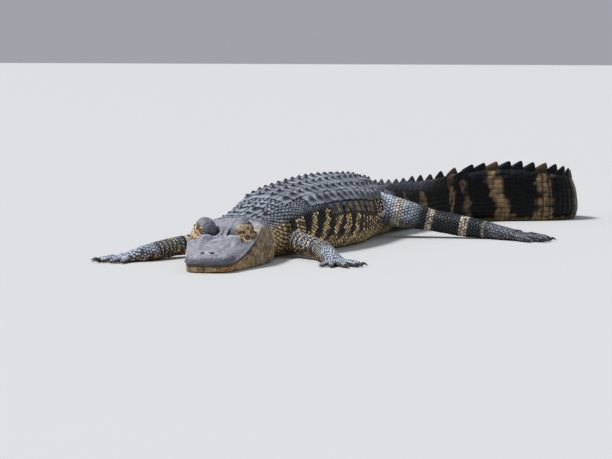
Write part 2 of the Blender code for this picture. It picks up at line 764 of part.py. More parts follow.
def torso_cutters(count):
    """Copies of the torso's smooth body, swollen by the gap that parts it from the legs."""
    name, start, end = TORSO
    cutters = []
    for i in range(count):
        rings = []
        for s in np.linspace(start - 0.11, end + 0.05, 30):
            ring = []
            for across, up in body_section(s, BODY_SIDES):
                ring.append((across, up))
            centre_up = sum(p[1] for p in ring) / len(ring)
            grown = []
            for across, up in ring:
                reach = math.hypot(across, up - centre_up)
                scale = (reach + NODE_GAP * 2.2) / max(reach, 1e-6)
                grown.append(on_body(s, across * scale, centre_up + (up - centre_up) * scale))
            rings.append(grown)
        cutters.append(loft(f"cutter_{i}", rings))
    return cutters


def material(name):
    colour, roughness = COLOURS[name]
    made = bpy.data.materials.new(name)
    made.use_nodes = True
    shader = made.node_tree.nodes["Principled BSDF"]
    shader.inputs["Base Color"].default_value = colour
    shader.inputs["Roughness"].default_value = roughness
    shader.inputs["Metallic"].default_value = 0.0
    made.diffuse_color = colour
    return made


def finish(made):
    """Gives every node its material and smooth shading with crisp plate edges."""
    materials = {name: material(name) for name in COLOURS}
    for obj in made:
        if obj.name.startswith("eye_"):
            slot = "eye"
        elif obj.name.startswith("claw_"):
            slot = "claw"
        elif obj.name == "lower_jaw":
            slot = "jaw"
        elif obj.name == "head":
            slot = "hide_head"
        else:
            slot = "hide_dark"
        obj.data.materials.clear()
        obj.data.materials.append(materials[slot])
        obj.data.shade_smooth()
        obj.data.set_sharp_from_angle(angle=math.radians(38))


def main():
    for obj in list(bpy.data.objects):
        bpy.data.objects.remove(obj)
    made = make_head()
    made.append(make_neck())
    made.append(make_torso())
    made += make_tail()
    cutters = torso_cutters(4)
    for kind in ("fore", "hind"):
        for word in ("left", "right"):
            made.append(make_leg(kind, word, cutters.pop()))
            made += make_foot(kind, word)
    finish(made)


main()
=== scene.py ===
import math

import bmesh
import bpy
import numpy as np
from mathutils import Matrix, Vector, kdtree
from mathutils.bvhtree import BVHTree


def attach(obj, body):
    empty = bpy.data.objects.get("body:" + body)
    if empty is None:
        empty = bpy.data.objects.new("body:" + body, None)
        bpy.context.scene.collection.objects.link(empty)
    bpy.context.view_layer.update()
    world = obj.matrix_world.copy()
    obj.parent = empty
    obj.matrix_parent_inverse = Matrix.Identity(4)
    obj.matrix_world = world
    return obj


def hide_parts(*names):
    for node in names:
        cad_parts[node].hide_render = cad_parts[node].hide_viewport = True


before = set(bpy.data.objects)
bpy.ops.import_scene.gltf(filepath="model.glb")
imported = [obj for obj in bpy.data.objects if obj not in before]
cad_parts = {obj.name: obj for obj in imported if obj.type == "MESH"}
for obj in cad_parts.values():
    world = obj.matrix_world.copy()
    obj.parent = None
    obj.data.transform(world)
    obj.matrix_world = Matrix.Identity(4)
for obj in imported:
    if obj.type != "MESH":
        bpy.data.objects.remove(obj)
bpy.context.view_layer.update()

# American alligator, 1.80 m along the spine, lying on its belly. Metres, +Z up, snout towards -Y.
# A place on the body is (s, across, up): metres from the snout tip along the spine, then to the
# animal's left, then above the floor.

body = {
    "length": 1.80,
    "ventS": 0.87,
    "bellyS": 0.60,
    "crestMeetsS": 1.285,
    "lowerSquareness": 2.4,
}
spineHeadings = (
    (0.00, -12.0), (0.235, -12.0), (0.275, 0.0), (0.315, 5.0), (0.355, 3.0), (0.40, 0.0), (0.76, 0.0),
    (0.88, 3.0), (1.00, 6.0), (1.10, 9.5), (1.20, 20.0), (1.29, 44.0), (1.36, 66.0), (1.42, 61.0),
    (1.47, 38.0), (1.535, -10.0), (1.60, -50.0), (1.69, -70.0), (1.80, -76.0),
)
# s, half width, top, underside, share of the height at the widest level, squareness above it, roll
bodySections = (
    (0.243, 0.0720, 0.0735, -0.002, 0.44, 2.3, 0.0),
    (0.275, 0.0635, 0.0765, 0.002, 0.45, 2.0, 0.0),
    (0.315, 0.0635, 0.0845, 0.002, 0.45, 2.0, 0.0),
    (0.360, 0.0710, 0.0975, -0.002, 0.44, 2.2, 0.0),
    (0.420, 0.0810, 0.1090, -0.004, 0.42, 2.3, 1.0),
    (0.500, 0.0900, 0.1160, -0.004, 0.40, 2.2, 3.0),
    (0.580, 0.0950, 0.1200, -0.004, 0.40, 2.1, 7.0),
    (0.660, 0.0910, 0.1220, -0.004, 0.41, 2.1, 10.0),
    (0.730, 0.0810, 0.1210, -0.004, 0.43, 2.1, 12.0),
    (0.790, 0.0710, 0.1180, -0.003, 0.45, 2.1, 12.0),
    (0.850, 0.0620, 0.1085, -0.002, 0.46, 2.2, 9.0),
    (0.920, 0.0550, 0.0975, -0.003, 0.46, 2.9, 4.0),
    (1.000, 0.0480, 0.0885, -0.003, 0.45, 3.8, 1.0),
    (1.100, 0.0410, 0.0855, -0.003, 0.44, 4.0, 0.0),
    (1.200, 0.0350, 0.0895, -0.003, 0.42, 3.4, 0.0),
    (1.285, 0.0300, 0.1045, -0.003, 0.37, 1.9, 0.0),
    (1.360, 0.0245, 0.1110, -0.003, 0.34, 1.6, 0.0),
    (1.440, 0.0205, 0.1060, -0.003, 0.36, 1.6, 0.0),
    (1.520, 0.0175, 0.0920, -0.003, 0.37, 1.6, 0.0),
    (1.600, 0.0145, 0.0710, -0.002, 0.37, 1.6, 0.0),
    (1.680, 0.0110, 0.0500, -0.002, 0.38, 1.7, 0.0),
    (1.750, 0.0075, 0.0290, -0.001, 0.40, 1.8, 0.0),
    (1.790, 0.0048, 0.0140, -0.001, 0.42, 2.0, 0.0),
    (1.800, 0.0024, 0.0070, -0.001, 0.45, 2.0, 0.0),
)


def follow(table, at):
    # rows of (station, value, ...) read on a smooth curve with no overshoot
    rows = np.array(table, float)
    stations, values = rows[:, 0], rows[:, 1:]
    slopes = np.diff(values, axis=0) / np.diff(stations)[:, None]
    before, after = slopes[:-1], slopes[1:]
    rising = before * after > 0
    total = np.where(rising, before + after, 1.0)
    tangents = np.vstack([slopes[:1], np.where(rising, 2 * before * after / total, 0.0), slopes[-1:]])
    at = np.clip(np.asarray(at, float), stations[0], stations[-1])
    i = np.clip(np.searchsorted(stations, at) - 1, 0, len(stations) - 2)
    span = stations[i + 1] - stations[i]
    t = ((at - stations[i]) / span)[..., None]
    span = span[..., None]
    found = (2 * t**3 - 3 * t**2 + 1) * values[i] + (t**3 - 2 * t**2 + t) * span * tangents[i]
    found = found + (3 * t**2 - 2 * t**3) * values[i + 1] + (t**3 - t**2) * span * tangents[i + 1]
    return found if found.shape[-1] > 1 else found[..., 0]


def laySpine(step=0.001):
    stations = np.arange(0.0, body["length"] + step, step)
    headings = np.radians(follow(spineHeadings, stations))
    steps = np.column_stack([np.sin(headings), np.cos(headings)]) * step
    places = np.vstack([[0.0, 0.0], np.cumsum(steps, axis=0)[:-1]])
    places -= places[np.searchsorted(stations, body["bellyS"])]
    return np.column_stack([stations, places, headings])


spine = laySpine()


def spineAt(s):
    return [np.interp(s, spine[:, 0], spine[:, i]) for i in (1, 2, 3)]


def onBody(s, across, up):
    x, y, heading = spineAt(s)
    x, y = x + across * np.cos(heading), y - across * np.sin(heading)
    return np.stack(np.broadcast_arrays(x, y, up), axis=-1)


def lengthAlong(points):
    # distance run at each of a row of points
    return np.concatenate([[0.0], np.cumsum(np.linalg.norm(np.diff(points, axis=0), axis=1))])


def signedPower(value, power):
    return np.sign(value) * np.abs(value) ** power


def bodySection(s, angle):
    # across and up at an angle round the section, from the middle of the underside by the left
    width, top, low, level, square, roll = np.moveaxis(follow(bodySections, s), -1, 0)
    middle = low + (top - low) * level
    turn = np.radians(roll)
    out, rise = np.sin(angle), -np.cos(angle)
    power = 2 / np.where(rise > 0, square, body["lowerSquareness"])
    across = width * signedPower(out, power)
    up = signedPower(rise, power) * np.where(rise > 0, top - middle, middle - low)
    turned = across * np.cos(turn) + up * np.sin(turn)
    lifted = middle + up * np.cos(turn) - across * np.sin(turn)
    return turned, np.maximum(lifted, 0.0)


ringCache = {}


def skinRing(s, dense=240):
    # the section at s with its arc length from the middle of the back, the left side positive
    key = round(float(s), 5)
    if key not in ringCache:
        angle = np.linspace(0, 2 * math.pi, dense + 1)
        ring = np.column_stack(bodySection(np.full(dense + 1, key), angle))
        run = lengthAlong(ring)
        ringCache[key] = (ring, run[dense // 2] - run)
    return ringCache[key]


def backPlace(s, along):
    # place and outward direction at metres along the skin from the middle of the back
    ring, arc = skinRing(s)
    spots = [np.interp(-(along + d), -arc, ring[:, i]) for d in (-0.002, 0.0, 0.002) for i in (0, 1)]
    a, here, b = np.array(spots[:2]), spots[2:4], np.array(spots[4:])
    run = (b - a) / max(float(np.linalg.norm(b - a)), 1e-9)
    heading = float(spineAt(s)[2])
    outAcross, outUp = -run[1], run[0]
    if abs(along) < 0.7 * abs(arc[0]) and outUp < 0 and here[1] > 0.06:
        outAcross, outUp = -outAcross, -outUp
    outward = Vector((outAcross * math.cos(heading), -outAcross * math.sin(heading), outUp))
    return Vector(onBody(s, here[0], here[1])), outward.normalized()


def backwards(s):
    heading = float(spineAt(s)[2])
    return Vector((math.sin(heading), math.cos(heading), 0.0))


def softNoise(points, size, seed=0):
    # smooth value noise from 0 to 1 at each point
    cells = np.asarray(points, float) / size + 100.0
    base = np.floor(cells).astype(np.int64)
    t = cells - base
    t = t * t * (3 - 2 * t)
    total = 0.0
    for corner in range(8):
        offset = np.array([corner & 1, (corner >> 1) & 1, (corner >> 2) & 1])
        cell = base + offset
        mixed = cell[..., 0] * 374761393 + cell[..., 1] * 668265263 + cell[..., 2] * 2147483647
        mixed = mixed + seed * 144665
        mixed = (mixed ^ (mixed >> 13)) * 1274126177 & 0x7FFFFFFF
        value = (mixed ^ (mixed >> 16)) % 65536 / 65535.0
        total = total + value * np.prod(np.where(offset == 1, t, 1 - t), axis=-1)
    return total


def layeredNoise(points, size, seed=0, layers=3):
    total, weight = 0.0, 0.0
    for layer in range(layers):
        total = total + softNoise(points, size / 2**layer, seed + layer) * 0.6**layer
        weight += 0.6**layer
    return total / weight


def ramp(value, low, high):
    # 0 below low, 1 above high, and smooth between them
    t = np.clip((np.asarray(value, float) - low) / (high - low), 0, 1)
    return t * t * (3 - 2 * t)


def bell(value, middle, width):
    return np.exp(-(((value - middle) / width) ** 2))


def stripe(phase):
    # 1 at each whole turn and 0 halfway
    return 0.5 + 0.5 * np.cos(2 * math.pi * phase)


def paint(red, green, blue):
    # a paint given in everyday 0 to 255 values
    values = np.array([red, green, blue]) / 255
    return np.where(values < 0.04045, values / 12.92, ((values + 0.055) / 1.055) ** 2.4)


print("body laid out")

# Head

head = {
    "squareness": (2.6, 1.9),
    "squareUntil": (0.12, 0.19),
    "snoutRounding": 0.034,
    "snoutSquareness": 2.5,
    "lipOverhang": 0.0026,
    "jawStart": 0.005,
    "jawFlat": 0.90,
    "browPlace": (0.148, 0.0308, 0.0590),
    "browRadii": (0.0188, 0.0290, 0.0225),
    "browBelow": 0.40,
    "eyePlace": (0.1475, 0.0385, 0.0612),
    "eyeRadius": 0.0112,
    "lidRadius": 0.0136,
    "eyeFacesAt": 0.14,
    "slitRise": 42.0,
    "slitHalf": 0.0105,
    "slitTilt": 20.0,
    "lidPlace": (0.130, 0.0440, 0.0575),
    "lidSpread": (0.044, 0.0165, 0.0155),
    "nostrilPlace": (0.0165, 0.0080, 0.0295),
    "earPlace": (0.186, 0.0400, 0.0700),
    "middleS": 0.12,
    "heightPower": 0.7,
    "swellingPower": 0.75,
    "chinLift": 0.0035,
    "palateRows": 14,
}
# s, half width at the lip, mouth line, crown, half width of the lower jaw
headSections = (
    (0.000, 0.0385, 0.0125, 0.0285, 0.0365),
    (0.030, 0.0410, 0.0135, 0.0330, 0.0395),
    (0.060, 0.0452, 0.0175, 0.0365, 0.0445),
    (0.090, 0.0510, 0.0250, 0.0415, 0.0520),
    (0.120, 0.0560, 0.0350, 0.0490, 0.0595),
    (0.145, 0.0590, 0.0440, 0.0560, 0.0650),
    (0.170, 0.0590, 0.0525, 0.0620, 0.0690),
    (0.195, 0.0585, 0.0585, 0.0670, 0.0720),
    (0.220, 0.0590, 0.0615, 0.0700, 0.0740),
    (0.243, 0.0600, 0.0625, 0.0730, 0.0730),
)
# s, across, half length, half width, height, edge power
headSwellings = (
    (0.128, 0.0290, 0.046, 0.0170, 0.0100, 2.2),
    (0.025, 0.0, 0.017, 0.0190, 0.0030, 2.2),
    (0.200, 0.0, 0.046, 0.0330, 0.0035, 5.0),
)


def snoutFront(s):
    gone = 1.0 - np.minimum(s, head["snoutRounding"]) / head["snoutRounding"]
    return (1.0 - np.maximum(gone, 0.0) ** head["snoutSquareness"]) ** (1 / head["snoutSquareness"])


def headRing(s, sides=96):
    width, mouth, crown, _ = follow(headSections, s)
    front = snoutFront(s)
    width, crown = width * front, mouth + (crown - mouth) * front ** head["heightPower"]
    square = np.interp(s, head["squareUntil"], head["squareness"])
    angle = np.linspace(0, math.pi, sides + 1)
    across = width * signedPower(np.cos(angle), 2 / square)
    rise = np.maximum(np.sin(angle), 0.0) ** (2 / square)
    up = mouth + (crown - mouth) * rise
    for centreS, centreAcross, halfLength, halfWidth, height, power in headSwellings:
        reach = ((s - centreS) / halfLength) ** 2 + ((np.abs(across) - centreAcross) / halfWidth) ** 2
        swell = np.maximum(0.0, 1.0 - reach ** (power / 2)) ** head["swellingPower"]
        up += height * swell * np.minimum(1.0, rise * 1.6)
    palate = np.linspace(-1, 1, head["palateRows"])[1:-1]
    across = np.concatenate([across, width * palate])
    up = np.concatenate([up, np.full(len(palate), mouth)])
    return onBody(s, across, up)


def jawProfile(lip, bulge, top, share):
    # across and up of the jaw's outline, from the lip (0) to the middle of the underside (1)
    rows = (
        (0.00, lip, top), (0.25, lip + (bulge - lip) * 0.70, top * 0.72), (0.45, bulge, top * 0.36),
        (0.62, bulge * 0.985, top * 0.10), (0.75, bulge * head["jawFlat"], 0.0), (1.00, 0.0, 0.0),
    )
    found = follow(rows, share)
    return found[:, 0], found[:, 1]


def jawRing(s, sides=64):
    lip, mouth, _, bulge = follow(headSections, s)
    front = snoutFront(s - head["jawStart"] * 0.6)
    lip = max(lip * front - head["lipOverhang"], 0.004)
    bulge = max(bulge * front - head["lipOverhang"] / 2, 0.004)
    turn = np.linspace(0, 1, sides + 1)
    share = 1.0 - np.abs(2 * turn - 1)
    across, up = jawProfile(lip, bulge, mouth, share)
    across = across * np.where(turn < 0.5, -1, 1)
    up = np.maximum(0.0, up + head["chinLift"] * (1.0 - snoutFront(s)) * share)
    across = np.concatenate([across, lip * np.linspace(1, -1, 8)[1:-1]])
    up = np.concatenate([up, np.full(6, mouth)])
    return onBody(s, across, up)


# Limbs

limbs = {
    "foreRadii": (0.0210, 0.0155, 0.0125),
    "hindRadii": (0.0315, 0.0195, 0.0150),
    "foreRoot": (0.375, 0.060, 0.030),
    "hindRoot": (0.80, 0.056, 0.063),
    "foreFoot": (0.034, 0.0165, 0.0085),
    "hindFoot": (0.068, 0.0190, 0.0110),
    "steps": 24,
    "upperSwell": 0.04,
    "lowerSwell": 0.08,
    "capReach": (0.60, 0.55),
    "capSize": (0.72, 0.75, 0.70),
    "footSpread": 1.3,
    "toeRoot": 0.80,
    "toeSizes": (1.15, 1.0, 1.16, 0.98, 0.94, 0.80, 0.64),
    "clawLength": 0.0125,
    "clawRadius": 0.0026,
}
# elbow or knee, then wrist or ankle
limbJoints = {
    "foreLeft": ((0.134, -0.301, 0.0195), (0.178, -0.366, 0.0130)),
    "foreRight": ((-0.122, -0.340, 0.0195), (-0.146, -0.432, 0.0130)),
    "hindLeft": ((0.159, 0.237, 0.0320), (0.267, 0.246, 0.0160)),
    "hindRight": ((-0.152, 0.207, 0.0330), (-0.227, 0.270, 0.0160)),
}
footHeadings = {"foreLeft": -51.0, "foreRight": -132.0, "hindLeft": -17.0, "hindRight": 146.0}
# angle from the foot's middle, length, radius, and whether it has a claw
digits = {
    "fore": (
        (-46.0, 0.034, 0.0050, True), (-24.0, 0.044, 0.0052, True), (-2.0, 0.047, 0.0052, True),
        (22.0, 0.042, 0.0046, False), (46.0, 0.034, 0.0040, False),
    ),
    "hind": (
        (-24.0, 0.056, 0.0068, True), (-9.0, 0.074, 0.0070, True),
        (6.0, 0.078, 0.0068, True), (22.0, 0.066, 0.0058, False),
    ),
}

shells = []  # part, points, faces and distance along the part of each rough closed form under the skin


def closeRings(rings):
    rings = [np.asarray(r, float) for r in rings]
    count = len(rings[0])
    points = np.vstack(rings + [rings[0].mean(axis=0)[None], rings[-1].mean(axis=0)[None]])
    faces = []
    for i in range(len(rings) - 1):
        for k in range(count):
            a, b = i * count + k, i * count + (k + 1) % count
            faces.append((a, b, b + count, a + count))
    first, last = len(points) - 2, len(points) - 1
    end = (len(rings) - 1) * count
    for k in range(count):
        faces.append(((k + 1) % count, k, first))
        faces.append((end + k, end + (k + 1) % count, last))
    return points, faces


def addShell(part, rings, along):
    points, faces = closeRings(rings)
    spread = np.repeat(np.asarray(along, float), len(rings[0]))
    spread = np.concatenate([spread, [along[0], along[-1]]])
    shells.append((part, points, faces, spread))


def tubeRings(centres, radii, sides=28, flatten=1.0):
    centres = [Vector(c) for c in centres]
    rings = []
    for i, centre in enumerate(centres):
        ahead = (centres[min(i + 1, len(centres) - 1)] - centres[max(i - 1, 0)]).normalized()
        side = ahead.cross(Vector((0, 0, 1))).normalized()
        up = side.cross(ahead).normalized()
        ring = []
        for k in range(sides):
            angle = 2 * math.pi * (k + 0.5) / sides
            point = centre + side * radii[i] * math.cos(angle) + up * radii[i] * flatten * math.sin(angle)
            point.z = max(point.z, 0.0)
            ring.append(tuple(point))
        rings.append(ring)
    return rings


limbRuns = {}  # centres and radii along each limb, from its root to the wrist


def footHeading(name):
    angle = math.radians(footHeadings[name])
    return Vector((math.cos(angle), math.sin(angle), 0.0))


def buildLimb(name):
    kind, side = name[:4], 1 if name.endswith("Left") else -1
    s, across, up = limbs[kind + "Root"]
    inner, root = Vector(onBody(s, side * across * 0.5, up)), Vector(onBody(s, side * across, up))
    middle, last = (Vector(p) for p in limbJoints[name])
    thick, joint, thin = limbs[kind + "Radii"]
    rootCap, jointCap = limbs["capReach"]
    rootEnd, upperEnd, lowerEnd = limbs["capSize"]
    heading = footHeading(name)
    shares = np.linspace(0, 1, limbs["steps"])
    centres = [inner.lerp(middle, t) for t in shares]
    sizes = [thick + (joint - thick) * t + thick * limbs["upperSwell"] * math.sin(math.pi * t) for t in shares]
    ahead = (middle - inner).normalized()
    capped = [inner - ahead * thick * rootCap] + centres + [middle + ahead * joint * jointCap]
    addShell(name, tubeRings(capped, [sizes[0] * rootEnd] + sizes + [sizes[-1] * upperEnd]),
             [0.0] + list(shares * 0.5) + [0.5])
    bend = (last - middle).length * 0.5
    lower, lowerSizes = [], []
    for t in shares:
        into = last - heading * bend * (1 - t)
        lower.append(middle.lerp(last, t).lerp(into, t * t))
        swell = joint * limbs["lowerSwell"] * math.sin(math.pi * t)
        lowerSizes.append(joint + (thin - joint) * t + swell)
    ahead = (lower[1] - lower[0]).normalized()
    capped = [lower[0] - ahead * joint * rootCap] + lower
    addShell(name, tubeRings(capped, [lowerSizes[0] * lowerEnd] + lowerSizes), [0.5] + list(0.5 + shares * 0.5))
    limbRuns[name] = (centres[:-1] + lower, sizes[:-1] + lowerSizes, root)
    buildFoot(name, kind, side, last, heading)


digitRuns = []  # centres, radii, whether clawed, and heading of each digit


def footWidth(kind, share):
    # half width of the palm or sole at a share of its length
    wrist = limbs[kind + "Radii"][2]
    return wrist + (limbs[kind + "Foot"][1] - wrist) * min(1.0, max(0.0, share) * limbs["footSpread"])


def buildFoot(name, kind, side, wrist, heading):
    length, halfWidth, halfHeight = limbs[kind + "Foot"]
    thick = limbs[kind + "Radii"][2]
    left = Vector((-heading.y, heading.x, 0.0))
    rings, along = [], []
    for t in np.linspace(-0.12, 1.12, 16):
        centre = wrist + heading * length * t
        spread = min(1.0, max(0.0, t) * limbs["footSpread"])
        wide, high = footWidth(kind, t), thick + (halfHeight - thick) * spread
        if t > 1.0:
            wide, high = wide * 0.8, high * 0.6
        level = wrist.z + (halfHeight * 0.86 - wrist.z) * spread
        ring = []
        for k in range(28):
            angle = 2 * math.pi * (k + 0.5) / 28
            point = centre + left * wide * math.cos(angle)
            point.z = max(0.0, level + high * math.sin(angle))
            ring.append(tuple(point))
        rings.append(ring)
        along.append(1.0 + 0.5 * max(t, 0.0))
    addShell(name + "Foot", rings, along)
    tips = []
    for angle, reach, radius, clawed in digits[kind]:
        turn = math.radians(angle) * -side
        ahead = Matrix.Rotation(turn, 3, "Z") @ heading
        spread = left * halfWidth * 0.72 * math.sin(turn) / math.sin(math.radians(46))
        start = wrist + heading * length * limbs["toeRoot"] + spread
        start.z = halfHeight * 0.72
        knuckle, tip = start + ahead * reach * 0.55, start + ahead * reach
        knuckle.z, tip.z = radius * 1.15, radius * 0.72
        centres = [start, start.lerp(knuckle, 0.5), knuckle]
        centres += [knuckle.lerp(tip, t) for t in (0.35, 0.6, 0.85)] + [tip]
        sizes = [radius * share for share in limbs["toeSizes"]]
        addShell(name + "Foot", tubeRings(centres, sizes, 16), np.linspace(1.4, 2.0, 7))
        digitRuns.append((centres, sizes, clawed, ahead))
        tips.append((start, tip))
    if kind == "hind":
        for (rootA, tipA), (rootB, tipB) in zip(tips, tips[1:]):
            addWeb(name + "Foot", rootA, tipA, rootB, tipB)


def addWeb(part, rootA, tipA, rootB, tipB):
    # the fold of skin between two toes, scooped between them
    rows = []
    for t in np.linspace(0, 1, 9):
        reach = 0.60 - 0.16 * math.sin(math.pi * t)
        inner, outer = rootA.lerp(rootB, t), rootA.lerp(tipA, reach).lerp(rootB.lerp(tipB, reach), t)
        ring = []
        for u, z in ((0, 0.0010), (0.5, 0.0010), (1, 0.0010), (1, 0.0042), (0.5, 0.0046), (0, 0.0060)):
            spot = inner.lerp(outer, u)
            ring.append((spot.x, spot.y, z))
        rows.append(ring)
    addShell(part, rows, [1.6] * 9)


def ellipsoid(centre, radii, turn, below=1.0, rings=24, sides=32):
    rows = []
    for i in range(1, rings):
        pitch = math.pi * i / rings
        row = []
        for k in range(sides):
            angle = 2 * math.pi * k / sides
            x, y = radii[0] * math.sin(pitch) * math.cos(angle), radii[1] * math.sin(pitch) * math.sin(angle)
            z = radii[2] * math.cos(pitch)
            z = z if z > 0 else z * below
            row.append((centre[0] + x * math.cos(turn) - y * math.sin(turn),
                        centre[1] + x * math.sin(turn) + y * math.cos(turn), centre[2] + z))
        rows.append(row)
    return rows


headTurn = -float(spineAt(0.1)[2])


def buildFlesh():
    stations = np.concatenate([np.arange(0.236, 1.796, 0.004), [1.7995]])
    angle = np.linspace(0, 2 * math.pi, 97)[:-1]
    rings = []
    for s in stations:
        across, up = bodySection(np.full(96, s), angle)
        rings.append(onBody(s, across, up))
    addShell("body", rings, stations)
    stations = np.concatenate([[0.0008, 0.002, 0.004], np.arange(0.006, 0.2425, 0.0022)])
    addShell("head", [headRing(s) for s in stations], stations)
    stations = np.concatenate([[0.005, 0.0062, 0.008], np.arange(0.010, 0.2425, 0.0025)])
    addShell("jaw", [jawRing(s) for s in stations], stations)
    for side in (1, -1):
        s, across, up = head["browPlace"]
        rows = ellipsoid(onBody(s, side * across, up), head["browRadii"], headTurn, head["browBelow"])
        addShell("head", rows, [s] * len(rows))
        s, across, up = head["eyePlace"]
        rows = ellipsoid(onBody(s, side * across, up), (head["lidRadius"],) * 3, headTurn)
        addShell("head", rows, [s] * len(rows))
    for name in limbJoints:
        buildLimb(name)


buildFlesh()
print("flesh forms:", len(shells))

# Skin

skin = {
    "voxel": 0.0019,
    "quickVoxel": 1.5,
    "smoothing": 5,
    "headSmoothing": 2,
    "napeSmoothing": 110,
    "nape": (0.247, 0.018),
    "headSide": 0.09,
    "faceTarget": 122000,
    "cavityDepth": 0.0055,
    "foldDepth": 0.0016,
    "foldPitch": 0.013,
    "hipFoldDepth": 0.0013,
    "hipFoldPitch": 0.0085,
    "grainDepth": 0.0010,
}
# forms worked into the head's skin: middle, width and depth or height, in metres unless they are a reach
relief = {
    "mouth": (0.0, 0.0016, 0.0026),
    "lip": (0.0038, 0.0022, 0.0010),
    "lipWave": 0.062,
    "slitDepth": 0.0050,
    "slitGap": 0.0029,
    "slitReach": 0.0110,
    "lidRim": (0.0021, 0.0011, 0.0011),
    "lidFolds": ((-0.0105, 0.0013, 1.0), (0.0070, 0.0012, 1.0), (-0.0160, 0.0012, 0.7)),
    "lidFoldDepth": 0.0013,
    "nostrilDepth": 0.0050,
    "nostrilSize": (0.0042, 0.0021),
    "nostrilSlant": 0.35,
    "nostrilRim": (1.9, 0.75, 0.0016),
    "ear": (-0.004, 0.0014, 0.0030),
    "domeFoot": (1.13, 0.11, 0.0034),
    "domeRidge": (1.38, 0.10, 0.0008),
    "domeCrease": (1.62, 0.09, 0.0009),
    "browWrinkle": 0.0014,
    "browWrinklePitch": 0.0050,
    "snoutGroove": 0.0008,
    "crossRidge": 0.0007,
    "tableEdge": (0.0345, 0.0035, 0.0012),
    "rough": 0.0009,
    "grain": 0.0009,
    "crease": 0.0005,
    "cheekFold": 0.0004,
    "cheekRough": 0.0016,
    "hinge": (0.0025, 0.0030, 0.0024),
}


def placed(name, data):
    obj = bpy.data.objects.new(name, data)
    bpy.context.scene.collection.objects.link(obj)
    return obj


def meshObject(name, points, faces):
    mesh = bpy.data.meshes.new(name)
    mesh.from_pydata([tuple(p) for p in points], [], faces)
    mesh.update()
    return placed(name, mesh)


def joined(name, forms):
    # one object from the (points, faces) of several closed forms
    points, faces, start = [], [], 0
    for spots, sides in forms:
        points.append(spots)
        faces += [tuple(start + i for i in side) for side in sides]
        start += len(spots)
    return meshObject(name, np.vstack(points), faces)


layerFields = {"FLOAT": "value", "FLOAT_VECTOR": "vector", "FLOAT_COLOR": "color"}


def storeLayer(mesh, name, kind, values):
    layer = mesh.attributes.get(name) or mesh.attributes.new(name, kind, "POINT")
    if kind == "FLOAT_COLOR":
        values = np.column_stack([values, np.ones(len(values))])
    layer.data.foreach_set(layerFields[kind], np.asarray(values).astype(np.float32).ravel())


def dropLayers(mesh, *names):
    for name in names:
        if name in mesh.attributes:
            mesh.attributes.remove(mesh.attributes[name])


def faceOutwards(mesh, triangles=False):
    work = bmesh.new()
    work.from_mesh(mesh)
    bmesh.ops.recalc_face_normals(work, faces=work.faces)
    if triangles:
        bmesh.ops.triangulate(work, faces=work.faces)
    work.to_mesh(mesh)
    work.free()


def applyModifiers(obj):
    graph = bpy.context.evaluated_depsgraph_get()
    mesh = bpy.data.meshes.new_from_object(obj.evaluated_get(graph))
    obj.modifiers.clear()
    old = obj.data
    obj.data = mesh
    bpy.data.meshes.remove(old)


def readRows(items, key, wide, kind=float):
    values = np.empty(len(items) * wide, dtype=kind)
    items.foreach_get(key, values)
    return values.reshape(-1, wide)


def readPoints(mesh):
    return readRows(mesh.vertices, "co", 3)


def writePoints(mesh, points):
    mesh.vertices.foreach_set("co", np.ascontiguousarray(points, dtype=np.float32).ravel())
    mesh.update()


def readNormals(mesh):
    return readRows(mesh.vertex_normals, "vector", 3, np.float32).astype(float)


def readEdges(mesh):
    return readRows(mesh.edges, "vertices", 2, np.int32)


def relax(points, edges, rounds, weight):
    count = len(points)
    a, b = edges[:, 0], edges[:, 1]
    degree = np.bincount(a, minlength=count) + np.bincount(b, minlength=count)
    degree = np.maximum(degree, 1)[:, None]
    for _ in range(rounds):
        total = np.zeros_like(points)
        for axis in range(3):
            total[:, axis] = np.bincount(a, points[b, axis], count) + np.bincount(b, points[a, axis], count)
        points = points + (total / degree - points) * weight[:, None]
    return points


def fleshFinder():
    # nearest place on the rough forms, for the part and the distance along it
    total = sum(len(spots) for _, spots, _, _ in shells)
    tree, parts, along = kdtree.KDTree(total), [], []
    i = 0
    for part, spots, _, spread in shells:
        for spot, run in zip(spots, spread):
            tree.insert(spot, i)
            parts.append(part)
            along.append(run)
            i += 1
    tree.balance()
    return tree, np.array(parts), np.array(along)


fleshTree, fleshParts, fleshAlong = fleshFinder()


def whereOnBody(points):
    # part name and distance along it for each point
    found = np.fromiter((fleshTree.find(p)[1] for p in points.tolist()), dtype=np.int64, count=len(points))
    return fleshParts[found], fleshAlong[found]


def bodyTerms(points, s):
    # exact s and across of points whose rough s is known
    best = np.asarray(s, float).copy()
    for _ in range(3):
        x, y, heading = spineAt(best)
        best = best + (points[:, 0] - x) * np.sin(heading) + (points[:, 1] - y) * np.cos(heading)
        best = np.clip(best, 0, body["length"])
    x, y, heading = spineAt(best)
    across = (points[:, 0] - x) * np.cos(heading) - (points[:, 1] - y) * np.sin(heading)
    return best, across


def headTerms(points):
    return bodyTerms(points, np.full(len(points), head["middleS"]))


def trunkTerms(points, parts, along):
    return bodyTerms(points, np.where(parts == "body", along, 0.5))


def mouthHeight(s):
    return follow(headSections, s)[..., 1]


def eyeFrame(side):
    s, across, up = head["eyePlace"]
    return onBody(s, side * across, up)


def slitDistance(points, side):
    # distance from the line where the lids meet, how far back it is, and the reach from the eye's middle
    local = points - eyeFrame(side)
    back = np.array(tuple(backwards(head["eyeFacesAt"])))
    out = np.array([back[1], -back[0], 0.0]) * side
    x, y, z = local @ out, local @ back, local[:, 2]
    angle = np.degrees(np.arctan2(z, np.maximum(x, 1e-6)))
    rise = head["slitRise"] - head["slitTilt"] * (y / head["slitHalf"])
    return np.radians(angle - rise) * np.hypot(x, z), y, np.linalg.norm(local, axis=1)


def eyeOpening(y):
    # half the gap between the lids at each place along the eye
    return relief["slitGap"] * np.maximum(1 - (y / relief["slitReach"]) ** 2, 0.0)


